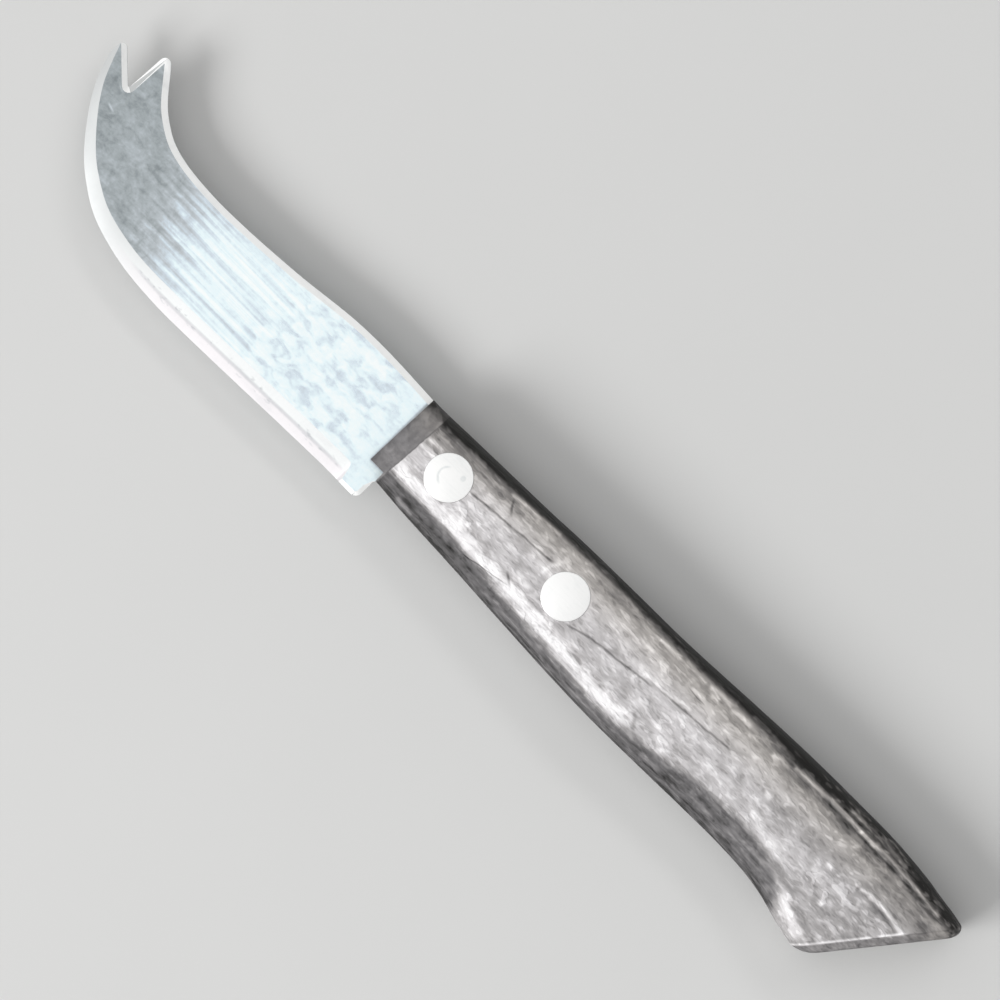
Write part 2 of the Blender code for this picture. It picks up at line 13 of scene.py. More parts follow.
import bmesh
import bpy
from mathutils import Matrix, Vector, noise
from mathutils.geometry import intersect_point_line


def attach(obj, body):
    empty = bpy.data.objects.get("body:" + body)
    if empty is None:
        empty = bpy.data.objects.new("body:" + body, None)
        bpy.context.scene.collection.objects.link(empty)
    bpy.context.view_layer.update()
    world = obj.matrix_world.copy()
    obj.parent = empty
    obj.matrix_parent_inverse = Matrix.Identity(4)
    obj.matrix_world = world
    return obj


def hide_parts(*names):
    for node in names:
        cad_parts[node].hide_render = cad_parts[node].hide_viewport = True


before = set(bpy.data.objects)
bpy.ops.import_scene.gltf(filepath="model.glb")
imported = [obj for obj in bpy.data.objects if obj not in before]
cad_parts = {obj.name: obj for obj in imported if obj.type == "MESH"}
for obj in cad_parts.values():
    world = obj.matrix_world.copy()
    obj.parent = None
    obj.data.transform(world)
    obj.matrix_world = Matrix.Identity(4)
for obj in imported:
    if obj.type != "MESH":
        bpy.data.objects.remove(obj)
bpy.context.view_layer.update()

log = logging.getLogger("cheese_knife")

MILLIMETRES = 1000.0
MERGE = 1e-7
WELD = 1e-6
NOISE_MIDDLE = 0.5
RIVET_PITCH = 0.0265

Pairs = tuple[tuple[float, float], ...]
Triple = tuple[float, float, float]
Colour = Triple
Stops = tuple[tuple[float, Colour], ...]
Operand = "Signal | float"


class Face(Enum):
    """Which of the knife's two broad sides a mark is on."""

    UPPER = 1
    LOWER = -1


def tone(red: float, green: float, blue: float) -> Colour:
    """A linear colour from the three numbers, 0 to 255, that a screen shows it with."""

    def linear(value: float) -> float:
        """One channel's linear value."""
        share = value / 255
        return share / 12.92 if share <= 0.04045 else ((share + 0.055) / 1.055) ** 2.4

    return linear(red), linear(green), linear(blue)


def smooth_step(low: float, high: float, value: float) -> float:
    """How far a value is between two others, 0 to 1, eased at both ends.

    Args:
        low: the value that gives 0.
        high: the value that gives 1. It may be under low.
        value: the value to place.

    Returns:
        The eased share.
    """
    share = min(max((value - low) / (high - low), 0.0), 1.0)
    return share * share * (3 - 2 * share)


def smooth_value(stations: Pairs, x: float) -> float:
    """The value of a smooth curve through stations.

    Args:
        stations: (place, value) pairs in order along X.
        x: where to read the curve.

    Returns:
        The curve's value at x, held at its ends.
    """
    if x <= stations[0][0]:
        return stations[0][1]
    if x >= stations[-1][0]:
        return stations[-1][1]

    def slope(i: int) -> float:
        """The curve's slope at a station."""
        before, after = stations[max(i - 1, 0)], stations[min(i + 1, len(stations) - 1)]
        return (after[1] - before[1]) / (after[0] - before[0])

    i = max(k for k, (start, _) in enumerate(stations) if start <= x)
    (x0, y0), (x1, y1) = stations[i], stations[i + 1]
    span = x1 - x0
    t = (x - x0) / span
    return (
        y0 * (2 * t**3 - 3 * t**2 + 1)
        + slope(i) * span * (t**3 - 2 * t**2 + t)
        + y1 * (3 * t**2 - 2 * t**3)
        + slope(i + 1) * span * (t**3 - t**2)
    )


# Shader graphs


class Signal:
    """A number on a shader socket. Python's own operators on it add the Math nodes."""

    def __init__(self, graph: "Graph", socket: bpy.types.NodeSocket) -> None:
        """Wraps a socket of a graph."""
        self.graph = graph
        self.socket = socket

    def maths(self, operation: str, *operands: Operand) -> "Signal":
        """The result of one Math node.

        Args:
            operation: the node's operation.
            operands: its inputs in order, numbers or signals.

        Returns:
            The result as a signal.
        """
        node = self.graph.node("ShaderNodeMath", {"operation": operation}, dict(enumerate(operands)))
        return Signal(self.graph, node.outputs[0])

    def __add__(self, other: Operand) -> "Signal":
        """The sum."""
        return self.maths("ADD", self, other)

    __radd__ = __add__

    def __sub__(self, other: Operand) -> "Signal":
        """The difference."""
        return self.maths("SUBTRACT", self, other)

    def __rsub__(self, other: Operand) -> "Signal":
        """The difference from a plain number."""
        return self.maths("SUBTRACT", other, self)

    def __mul__(self, other: Operand) -> "Signal":
        """The product."""
        return self.maths("MULTIPLY", self, other)

    __rmul__ = __mul__

    def __abs__(self) -> "Signal":
        """The size without its sign."""
        return self.maths("ABSOLUTE", self)

    def largest(self, other: Operand) -> "Signal":
        """The larger of this and another."""
        return self.maths("MAXIMUM", self, other)

    def root(self) -> "Signal":
        """The square root."""
        return self.maths("SQRT", self)

    def sine(self) -> "Signal":
        """The sine."""
        return self.maths("SINE", self)

    def eased(self, low: float, high: float) -> "Signal":
        """How far this is between two values, 0 to 1, eased at both ends.

        Args:
            low: the value that gives 0.
            high: the value that gives 1. It may be under low.

        Returns:
            The eased share as a signal.
        """
        ends = (low, high, 0.0, 1.0) if low < high else (high, low, 1.0, 0.0)
        sockets = dict(zip(("From Min", "From Max", "To Min", "To Max"), ends))
        node = self.graph.node(
            "ShaderNodeMapRange", {"interpolation_type": "SMOOTHSTEP"}, {"Value": self, **sockets}
        )
        return Signal(self.graph, node.outputs["Result"])

    def between(self, low: float, high: float, soft: float) -> "Signal":
        """1 where this lies between two values and 0 outside them, with soft ends."""
        return self.eased(low - soft, low + soft) * self.eased(high + soft, high - soft)


class Graph:
    """A node tree that is built up by name, with one method for every kind of node."""

    def __init__(self, tree: bpy.types.NodeTree) -> None:
        """Wraps an empty node tree."""
        self.tree = tree

    def node(self, kind: str, settings: dict | None = None, sockets: dict | None = None) -> bpy.types.Node:
        """One new node, with its settings made before its sockets are fed.

        Args:
            kind: the node's type name.
            settings: its properties by name, and a ramp's stops under "stops".
            sockets: values, signals or sockets by the name or number of the input they feed.

        Returns:
            The node.
        """
        node = self.tree.nodes.new(kind)
        for name, value in (settings or {}).items():
            if name == "stops":
                self.set_stops(node.color_ramp, value)
            else:
                setattr(node, name, value)
        for name, value in (sockets or {}).items():
            self.feed(node.inputs[name], value)
        return node

    def feed(self, target: bpy.types.NodeSocket, value: object) -> None:
        """Links a signal or socket to an input, or sets the input's own value."""
        if isinstance(value, Signal):
            value = value.socket
        if isinstance(value, bpy.types.NodeSocket):
            self.tree.links.new(value, target)
        elif target.type == "RGBA":
            target.default_value = (*value, 1.0)
        else:
            target.default_value = value

    @staticmethod
    def set_stops(ramp: bpy.types.ColorRamp, stops: Stops) -> None:
        """Gives a colour ramp its (place, colour) stops."""
        while len(ramp.elements) < len(stops):
            ramp.elements.new(1.0)
        for element, (place, colour) in zip(ramp.elements, stops):
            element.position = place
            element.color = (*colour, 1.0)

    def place(
        self, stretch: Triple = (1.0, 1.0, 1.0), shift: Triple = (0.0, 0.0, 0.0)
    ) -> bpy.types.NodeSocket:
        """Object coordinates in millimetres, for a pattern.

        Args:
            stretch: how many pattern units a millimetre is along X, Y and Z.
            shift: what is added after that, to move the pattern.

        Returns:
            The coordinates' socket.
        """
        source = self.node("ShaderNodeTexCoord").outputs["Object"]
        factors = tuple(MILLIMETRES * share for share in stretch)
        node = self.node(
            "ShaderNodeVectorMath", {"operation": "MULTIPLY_ADD"}, {0: source, 1: factors, 2: shift}
        )
        return node.outputs["Vector"]

    def axes(self) -> tuple[Signal, Signal, Signal]:
        """Object coordinates in millimetres as three signals."""
        node = self.node("ShaderNodeSeparateXYZ", None, {"Vector": self.place()})
        return tuple(Signal(self, node.outputs[axis]) for axis in "XYZ")

    def attribute(self, name: str) -> tuple[Signal, Signal, Signal]:
        """A mesh attribute's three values as signals."""
        source = self.node("ShaderNodeAttribute", {"attribute_name": name}).outputs["Vector"]
        node = self.node("ShaderNodeSeparateXYZ", None, {"Vector": source})
        return tuple(Signal(self, node.outputs[axis]) for axis in "XYZ")

    def grain(
        self, stretch: Triple, shift: Triple = (0.0, 0.0, 0.0), detail: float = 2.0,
        roughness: float = 0.5, distortion: float = 0.0,
    ) -> Signal:
        """Noise about zero, from about -0.5 to 0.5.

        Args:
            stretch: noise cells to the millimetre along X, Y and Z.
            shift: what moves the noise, in cells.
            detail: how many finer layers it has.
            roughness: how strong each finer layer is.
            distortion: how much it swirls.

        Returns:
            The noise as a signal.
        """
        node = self.node(
            "ShaderNodeTexNoise", {"noise_dimensions": "3D"},
            {
                "Vector": self.place(stretch, shift), "Scale": 1.0, "Detail": detail,
                "Roughness": roughness, "Distortion": distortion,
            },
        )
        return Signal(self, node.outputs["Fac"]) - NOISE_MIDDLE

    def mixed(self, share: Operand, first: object, second: object) -> bpy.types.NodeSocket:
        """Two colours mixed.

        Args:
            share: how much of the second, 0 to 1.
            first: the first colour or its socket.
            second: the second colour or its socket.

        Returns:
            The mixed colour's socket.
        """
        node = self.node("ShaderNodeMix", {"data_type": "RGBA"}, {0: share, 6: first, 7: second})
        return node.outputs[2]

    def ramp(self, share: Signal, stops: Stops) -> bpy.types.NodeSocket:
        """A colour read from a ramp of (place, colour) stops."""
        node = self.node("ShaderNodeValToRGB", {"stops": stops}, {"Fac": share})
        return node.outputs["Color"]

    def bumps(self, height: Signal, depth: float) -> bpy.types.NodeSocket:
        """A normal from a height signal.

        Args:
            height: the height.
            depth: what a height of 1 stands for, in metres.

        Returns:
            The normal's socket.
        """
        sockets = {"Height": height, "Distance": depth, "Strength": 1.0}
        return self.node("ShaderNodeBump", None, sockets).outputs["Normal"]


def new_material(name: str) -> tuple[bpy.types.Material, Graph, bpy.types.Node]:
    """An empty material with its shader.

    Args:
        name: the material's name.

    Returns:
        The material, its graph and its Principled shader.
    """
    material = bpy.data.materials.new(name)
    material.use_nodes = True
    material.node_tree.nodes.clear()
    graph = Graph(material.node_tree)
    shader = graph.node("ShaderNodeBsdfPrincipled")
    graph.node("ShaderNodeOutputMaterial", None, {"Surface": shader.outputs["BSDF"]})
    return material, graph, shader


def set_inputs(graph: Graph, shader: bpy.types.Node, **values: object) -> None:
    """Feeds a shader's inputs, named with underscores for spaces."""
    for name, value in values.items():
        graph.feed(shader.inputs[name.replace("_", " ")], value)


# Wood


@dataclass(frozen=True)
class Crack:
    """A crack in the wood or a scratch in the steel, from one end to the other, on one broad side.

    Places and sizes are in millimetres. Only a crack in the wood has its depth modelled.
    """

    fade_out = 0.4
    fade_in = 0.8
    groove_spread = 1.6
    stray = 0.12

    face: Face
    start: tuple[float, float]
    end: tuple[float, float]
    width: float = 0.3
    depth: float = 0.05
    strength: float = 0.3

    @property
    def heading(self) -> Vector:
        """The crack's direction, with its length."""
        return Vector(self.end) - Vector(self.start)

    def groove(self, x: float, y: float, z: float) -> float:
        """How deep the groove is at a place.

        Args:
            x: along the knife, in millimetres.
            y: across it.
            z: above its middle plane.

        Returns:
            The depth in millimetres.
        """
        if z * self.face.value < 0:
            return 0.0
        offset = Vector((x, y)) - Vector(self.start)
        along = self.heading.normalized()
        reach, length = offset.dot(along), self.heading.length
        across = offset.x * along.y - offset.y * along.x
        ends = smooth_step(-self.fade_out, self.fade_in, reach)
        ends *= smooth_step(length + self.fade_out, length - self.fade_in, reach)
        return self.depth * ends * math.exp(-((across / (self.width * self.groove_spread)) ** 2))

    def line(self, graph: Graph, x: Signal, y: Signal, z: Signal, wander: Signal) -> Signal:
        """The crack's dark line in a shader.

        Args:
            graph: the material's graph.
            x: along the knife, in millimetres.
            y: across it.
            z: above its middle plane.
            wander: a signal, about -1 to 1, that makes the line stray.

        Returns:
            The line's strength in its middle, falling to 0 beside it.
        """
        along = self.heading.normalized()
        reach = (x - self.start[0]) * along.x + (y - self.start[1]) * along.y
        across = (x - self.start[0]) * along.y - (y - self.start[1]) * along.x
        near = abs(across + wander * self.stray).eased(self.width, 0.0)
        ends = reach.eased(-0.5, 1.0) * reach.eased(self.heading.length + 0.5, self.heading.length - 1.0)
        return near * ends * (z * self.face.value).eased(-0.1, 0.1) * self.strength


CRACKS = (
    Crack(Face.UPPER, (-9.2, 1.0), (8.2, 2.45)),
    Crack(Face.UPPER, (16.6, -2.9), (21.2, -1.65)),
    Crack(Face.UPPER, (19.6, -1.85), (33.0, -0.25)),
    Crack(Face.UPPER, (34.5, 0.3), (49.0, 1.6)),
    Crack(Face.UPPER, (-3.4, 5.0), (-1.9, 2.9), 0.36, 0.05, 0.28),
    Crack(Face.UPPER, (4.0, -3.8), (6.1, -5.3), 0.34, 0.05, 0.36),
    Crack(Face.UPPER, (-3.0, -6.9), (5.2, -5.3), 0.16, 0.04, 0.3),
    Crack(Face.UPPER, (37.5, 3.8), (41.0, 3.7), 0.18, 0.04, 0.25),
    Crack(Face.LOWER, (-8.0, -1.4), (12.0, 0.6)),
    Crack(Face.LOWER, (20.0, 2.2), (44.0, 3.4)),
    Crack(Face.LOWER, (52.0, -2.0), (68.0, -3.1), 0.18, 0.06, 0.35),
)


@dataclass(frozen=True)
class Mark:
    """A soft mark on the handle's upper side, light, or dark where its strength is under zero.

    Its path goes towards the butt. Places are in millimetres.
    """

    path: Pairs
    width: float = 0.32
    strength: float = 0.24

    def at(self, x: float, y: float) -> float:
        """How strong the mark is at a place."""
        reach = 3 * self.width
        if not self.path[0][0] - reach < x < self.path[-1][0] + reach:
            return 0.0
        here = Vector((x, y))
        nearest = math.inf
        for start, end in zip(self.path[:-1], self.path[1:]):
            share = intersect_point_line(here, start, end)[1]
            foot = Vector(start).lerp(Vector(end), min(max(share, 0.0), 1.0))
            nearest = min(nearest, (here - foot).length)
        return self.strength * math.exp(-((nearest / self.width) ** 2))


MARKS = (
    # Front
    Mark(((-19.9, 0.7), (-17.2, 0.8))),
    Mark(((-19.6, 2.3), (-17.0, 2.5))),
    Mark(((-19.2, 3.8), (-17.4, 4.0)), 0.3, 0.18),
    Mark(((-19.7, 1.5), (-17.4, 1.6)), 0.26, -0.15),
    Mark(((-16.5, -8.3), (-13.5, -8.4)), 0.4, 0.3),
    Mark(((-9.5, -3.2), (-5.0, -3.2)), 0.22, 0.24),
    Mark(((-8.4, 0.8), (-6.0, 1.1)), 0.3, -0.16),
    Mark(((-6.5, 2.2), (-3.2, 2.8)), 0.6, 0.16),
    Mark(((-4.0, 5.4), (-1.2, 5.8), (1.5, 6.0)), 0.34, 0.42),
    Mark(((2.0, 6.2), (5.6, 6.4)), 0.32, 0.38),
    Mark(((5.3, -2.6), (6.0, -2.9)), 0.5, 0.2),
    Mark(((7.2, -3.4), (7.9, -3.1)), 0.45, 0.2),
    Mark(((7.9, 0.2), (8.2, 1.8), (8.9, 2.9)), 0.3, 0.18),
    # Middle
    Mark(((28.0, 3.8), (29.2, 3.8))),
    Mark(((29.0, 6.1), (33.0, 6.3)), 0.32, 0.34),
    Mark(((31.0, 0.7), (34.0, 0.8))),
    Mark(((31.3, 3.6), (32.5, 3.7))),
    Mark(((34.2, -5.0), (35.6, -6.8)), 0.35, -0.26),
    Mark(((34.4, 6.5), (38.5, 6.3)), 0.4, 0.26),
    Mark(((38.0, 4.3), (40.2, 4.4))),
    Mark(((38.2, 1.5), (39.8, 1.6))),
    Mark(((40.0, 6.5), (42.0, 6.9), (44.0, 6.6)), 0.4, 0.24),
    Mark(((41.0, 5.5), (41.8, 5.7)), 0.5, 0.24),
    Mark(((41.0, -6.5), (42.2, -5.5))),
    Mark(((42.4, 6.0), (43.2, 6.1)), 0.35, -0.16),
    Mark(((45.0, 6.3), (46.6, 6.8), (48.4, 6.6)), 0.4, 0.25),
    Mark(((46.2, 3.2), (47.6, 3.3))),
    Mark(((48.0, 8.2), (51.4, 8.3)), 0.3, 0.3),
    Mark(((52.3, 8.2), (55.0, 8.1)), 0.3, 0.26),
    Mark(((54.6, 6.0), (55.8, 6.4), (57.4, 6.2)), 0.44, 0.28),
    # Rear: the ridge beside the spine, a light line over a dark one (a painted highlight on the ridge over
    # painted shade below it), and dots and patches towards the belly
    Mark(((58.5, 7.0), (62.0, 7.2), (66.0, 7.6), (70.0, 7.7), (73.0, 7.4)), 0.3, 0.4),
    Mark(((73.0, 7.4), (76.0, 7.3), (78.0, 7.8), (82.0, 7.5), (86.0, 7.3), (91.0, 6.7)), 0.3, 0.5),
    Mark(((60.0, 6.3), (70.0, 6.9), (80.0, 6.7), (90.0, 6.0)), 0.3, -0.1),
    Mark(((70.0, 8.7), (76.0, 8.9), (82.0, 8.6)), 0.32, 0.5),
    Mark(((79.5, 0.9), (80.8, 1.5), (84.0, 1.3), (88.8, 0.7)), 0.32, 0.46),
    Mark(((79.0, 0.6), (84.0, 0.5), (88.0, -0.1)), 0.3, -0.2),
    Mark(((92.0, 5.4), (94.0, 5.7)), 0.9, 0.22),
    Mark(((58.3, 0.8), (58.7, 0.8)), 0.45, 0.3),
    Mark(((59.0, -2.9), (59.4, -2.9)), 0.45, 0.26),
    Mark(((71.8, -2.2), (72.2, -2.2)), 0.45, 0.3),
    Mark(((73.0, 0.0), (73.4, 0.0)), 0.45, 0.34),
    Mark(((76.3, -5.2), (76.7, -5.2)), 0.5, 0.3),
    Mark(((77.3, -4.0), (77.7, -4.0)), 0.45, 0.26),
    Mark(((61.0, -3.8), (64.0, -4.6), (68.0, -5.0)), 1.1, 0.16),
    Mark(((66.0, -2.8), (72.0, -2.4)), 3.2, 0.07),
    Mark(((66.0, -6.2), (72.0, -8.6)), 0.9, 0.24),
    Mark(((72.0, -9.2), (77.0, -11.4)), 1.3, 0.16),
)


@dataclass(frozen=True)
class WornWood:
    """The handle's outside: dark wood rubbed pale on its broad faces, that paleness partly painted sheen,
    with painted shade on its sides, painted highlights, streaks, scuffs and cracks.
    """

    name: str = "dark_wood_worn_with_painted_light"
    # The dark stop is darker than the wood itself, as painted shade on the spine's side; the palest stop is
    # reached by wear and by painted highlights.
    dark: Colour = tone(30, 29, 28)
    side: Colour = tone(103, 101, 102)
    middle: Colour = tone(161, 158, 158)
    pale: Colour = tone(203, 200, 201)
    rubbed_and_highlit: Colour = tone(250, 248, 249)
    warmth: Colour = (1.0, 0.98, 0.93)

    def warmed(self, colour: Colour) -> Colour:
        """A colour as it looks on the spine's half, which is browner."""
        return tuple(value * share for value, share in zip(colour, self.warmth))

    def build(self) -> bpy.types.Material:
        """The material."""
        material, graph, shader = new_material(self.name)
        x, y, height = graph.axes()
        z = height - Handle.half * MILLIMETRES
        spine, belly, ends = graph.attribute(Handle.past)
        marks, _, _ = graph.attribute(Handle.marked)

        streaks = graph.grain((0.06, 1.3, 1.3), (3.0, 0.0, 0.0), 3.0, 0.6)
        fibres = graph.grain((0.2, 2.6, 2.6), (0.0, 7.0, 0.0), 2.0, 0.5)
        clouds = graph.grain((0.09, 0.2, 0.2), (0.0, 0.0, 5.0), 2.0, 0.5)
        # The light blotches, wisps and dots are paler wood and partly painted gloss highlights on the bumps,
        # and the wisps' dark sides are partly painted shade; the bump below follows the same noises.
        blotches = graph.grain((0.34, 0.6, 0.6), (0.0, 4.0, 1.0), 2.0, 0.5, 0.3)
        wisps = graph.grain((0.5, 1.2, 1.2), (5.0, 0.0, 4.0), 1.0, 0.5, 0.1)
        wisps = wisps.eased(0.03, 0.22) - wisps.eased(-0.08, -0.22) * 0.7
        dots = graph.grain((0.85, 1.05, 1.05), (6.0, 0.0, 2.0), 0.0, 0.5).eased(0.07, 0.22)
        dots = dots * (clouds - y * 0.012).eased(-0.04, 0.12)
        placed = marks * (1.0 + fibres * 0.6)

        rim = streaks * 2.6 + blotches * 2.0
        flared = (x + belly * 1.4 + streaks * 8.0).eased(66.5, 83.0) * 5.0
        # Painted shade in a thin band where the belly's flat turns into the flared butt.
        crease_shade = belly.between(-0.5, 0.6, 0.5) * x.between(66.0, 82.0, 3.0)
        broad = (spine.largest(belly + 0.5 - flared) + rim).eased(1.4, -0.8)
        broad = broad * (ends + rim * 0.12).eased(0.12, -0.08)
        # A painted highlight: a bright strip on the broad face along the belly's edge, where it turns towards
        # the light.
        belly_highlight = (belly + rim * 0.7).between(-2.5, 0.0, 0.5)
        belly_highlight = belly_highlight * (x.between(-20.5, 35.0, 2.0) + x.between(60.0, 78.0, 4.0) * 0.1)
        # Painted shade: the broad face darkens towards the spine, where the light falls off.
        shade = (spine + rim * 0.6).eased(-4.4, 0.0)
        tired = (x + y * 1.6).eased(40.0, 92.0)

        flat = (
            0.65 + clouds * 0.36 + fibres * 0.08 + streaks * (0.1 + shade * 0.7)
            + blotches * 0.5 + wisps * 0.14 + dots * 0.13 + belly_highlight * (0.3 + blotches * 0.3)
            - shade * (0.4 - x.eased(-6.0, 14.0) * 0.14) - tired * 0.18 - crease_shade * 0.16 + placed
            - flared * belly.eased(-1.0, 1.5) * 0.03 - x.between(57.0, 83.0, 6.0) * 0.04
        )
        # Painted shade on the sides: darker on the spine's side, and darker towards the middle plane, where
        # the sides turn away from the light.
        spine_side_shade = spine.eased(-0.6, 0.9) * (1.0 - x.eased(56.0, 72.0) * (0.3 + wisps * 0.6))
        sides = 0.18 + streaks * 0.42 + wisps * 0.08 + blotches * 0.46 + placed * 0.6
        sides = sides - spine_side_shade * 0.24 - abs(z).eased(5.8, 2.2) * 0.13 - x.eased(10.0, -12.0) * 0.07
        # A painted highlight along the butt's arris.
        arris_highlight = ends.between(-0.3, 0.12, 0.22) * (x - 50.0).eased(0.0, 1.0) * y.eased(1.6, 0.0)
        arris_highlight = arris_highlight * abs(y + 2.9).eased(0.2, 0.7) * (1.0 + blotches)
        end_strip = ends.between(0.1, 1.5, 0.3) * (x - 50.0).eased(0.0, 1.0)
        slope = ends.eased(-0.1, 0.3) * x.eased(-10.0, -12.0)
        # foot is a painted contact shadow along the slope's foot against the blade; the slope is also darker
        # towards the spine, as painted shade.
        foot = (y * 0.03 - x).eased(22.6, 24.0)
        bare = 0.29 + clouds * 0.2 + blotches * 0.26 + wisps * 0.04 - foot * 0.1
        bare = bare - y.eased(4.4, 6.6) * 0.2
        sides = sides + (bare - sides) * slope + end_strip * 0.14
        level = sides + (flat - sides) * broad + arris_highlight * 0.35

        wander = graph.grain((0.35, 0.35, 0.35), (0.0, 0.0, 8.0), 1.0, 0.5) * 4.0
        cracks = None
        for crack in CRACKS:
            line = crack.line(graph, x, y, z, wander)
            cracks = line if cracks is None else cracks.largest(line)
        level = level - cracks

        stops = (
            (0.0, self.dark), (0.2, self.side), (0.48, self.middle), (0.68, self.pale), (1.0, self.rubbed_and_highlit),
        )
        warm_stops = tuple((place, self.warmed(colour)) for place, colour in stops)
        relief = blotches * 1.6 + wisps * 0.3 + streaks * 0.35 + dots * 0.3 + placed
        cool_colour, warm_colour = graph.ramp(level, stops), graph.ramp(level, warm_stops)
        set_inputs(
            graph, shader,
            Base_Color=graph.mixed(y.eased(-1.0, 6.0), cool_colour, warm_colour),
            Roughness=0.58 - broad * 0.14 + fibres * 0.2 - dots * 0.1,
            Normal=graph.bumps(relief * (1.0 - slope * 0.7) - cracks * 0.8, 0.0002),
            Specular_IOR_Level=0.26,
            Coat_Weight=0.02 + broad * 0.34,
            Coat_Roughness=0.3,
        )
        return material


@dataclass(frozen=True)
class SawnWood:
    """Wood inside the saw cut and the rivet holes: bare, dry and darkened by oil."""

    name: str = "sawn_wood"
    deep: Colour = tone(52, 44, 38)
    bare: Colour = tone(92, 80, 70)

    def build(self) -> bpy.types.Material:
        """The material."""
        material, graph, shader = new_material(self.name)
        lines = graph.grain((0.3, 2.2, 2.2), (0.0, 0.0, 3.0), 3.0, 0.6)
        set_inputs(
            graph, shader,
            Base_Color=graph.mixed(lines.eased(-0.2, 0.2), self.deep, self.bare),
            Roughness=0.7 + lines * 0.2,
            Normal=graph.bumps(lines, 0.00008),
        )
        return material


@dataclass(frozen=True)
class EndGrain:
    """The butt's end face: dark growth rings and pores, with a rubbed gloss."""

    name: str = "end_grain"
    dark: Colour = tone(58, 53, 49)
    light: Colour = tone(112, 106, 101)

    def build(self) -> bpy.types.Material:
        """The material."""
        material, graph, shader = new_material(self.name)
        warp = graph.grain((0.1, 0.12, 0.12), (0.0, 0.0, 0.0), 2.0, 0.5)
        _, y, height = graph.axes()
        from_pith = ((y + 16.0) * (y + 16.0) + (height + 22.0) * (height + 22.0)).root()
        rings = (from_pith * 4.2 + warp * 9.0 + 4.5).sine() * 0.5 + 0.5
        pores = graph.grain((0.8, 4.2, 4.2), (1.0, 0.0, 0.0), 2.0, 0.6).eased(0.08, 0.2)
        level = (rings * 0.45 + warp * 0.5 + 0.3 - pores * 0.35).largest(0.0)
        set_inputs(
            graph, shader,
            Base_Color=graph.mixed(level, self.dark, self.light),
            Roughness=0.52 + pores * 0.2 + rings * 0.06,
            Normal=graph.bumps(rings * 0.4 - pores, 0.00006),
            Coat_Weight=0.2 + rings * 0.1,
            Coat_Roughness=0.35,
        )
        return material


# Metal


class SteelPart(Enum):
    """The differently finished surfaces of the blade, in the order of its material slots."""

    FACE = 0
    BEVEL = 1
    BREAK = 2
    WALL = 3


SCRATCHES = (
    Crack(Face.UPPER, (-95.1, 6.7), (-93.9, 6.1), 0.3, 0.0, 0.28),
    Crack(Face.UPPER, (-94.4, 3.3), (-92.4, 2.7), 0.26, 0.0, 0.26),
    Crack(Face.UPPER, (-92.9, 2.2), (-92.2, 2.9), 0.26, 0.0, 0.24),
    Crack(Face.UPPER, (-92.0, 8.1), (-89.9, 8.0), 0.5, 0.0, 0.12),
)


@dataclass(frozen=True)
class BrushedSteel:
    """The blade's broad faces: brushed lengthwise, greyed towards the tip and scuffed towards the handle."""

    name: str = "brushed_blade_steel"
    grey: Colour = tone(130, 137, 140)
    dull: Colour = tone(164, 171, 174)
    pale: Colour = tone(190, 197, 202)
    line: Colour = tone(210, 222, 231)
    bright: Colour = tone(231, 245, 249)
    glint: Colour = tone(246, 251, 251)

    def build(self) -> bpy.types.Material:
        """The material."""
        material, graph, shader = new_material(self.name)
        x, y, height = graph.axes()
        mottle = graph.grain((0.45, 0.55, 0.3), (2.0, 5.0, 0.0), 4.0, 0.62, 0.4)
        fine = graph.grain((1.4, 1.6, 0.4), (4.0, 0.0, 0.0), 3.0, 0.6)
        brush = graph.grain((0.035, 2.6, 0.3), (0.0, 1.0, 0.0), 3.0, 0.62)
        wide_brush = graph.grain((0.04, 1.05, 0.3), (1.0, 3.0, 0.0), 2.0, 0.5)

        from_tip = x + y * 0.18 + mottle * 3.0 + wide_brush * 9.0
        clean = from_tip.eased(-82.0, -62.5)
        brushed = (x + mottle * 9.0).between(-74.0, -49.0, 4.0)
        scuffed = (x + mottle * 9.0).between(-52.0, -26.0, 4.5)

        grooves = (brush * 0.9 + wide_brush * 2.8) * (0.2 + brushed)
        patches = graph.grain((0.32, 0.6, 0.3), (7.0, 0.0, 3.0), 2.0, 0.5, 0.4)
        scuffs = (patches.eased(-0.04, 0.1) - patches.eased(0.0, -0.16)) * scuffed
        # A painted contact shadow on the blade where it meets the wood's front.
        contact_shadow = x.eased(-24.5, -23.95) * y.eased(-7.2, -6.7)
        worms = None
        for scratch in SCRATCHES:
            stroke = scratch.line(graph, x, y, height - Handle.half * MILLIMETRES, mottle * 4.0)
            worms = stroke if worms is None else worms.largest(stroke)
        level = (
            0.19 + clean * 0.58 + mottle * (0.62 - clean * 0.3) + fine * 0.24
            + grooves * 0.29 + scuffs * 0.15 - contact_shadow * 0.5 + worms + brushed * 0.03
            + x.between(-88.0, -81.0, 3.0) * 0.06
        )
        stops = (
            (0.0, self.grey), (0.2, self.dull), (0.4, self.pale),
            (0.6, self.line), (0.78, self.bright), (1.0, self.glint),
        )
        set_inputs(
            graph, shader,
            Base_Color=graph.ramp(level, stops),
            Metallic=1.0,
            Roughness=(0.44 - clean * 0.1 + mottle * 0.16 + scuffs * 0.08).largest(0.2),
            Normal=graph.bumps(
                brush * (0.3 + brushed * 0.7) + mottle * (1.0 - clean) * 0.8 + scuffs * 0.1, 0.00002
            ),
        )
        return material


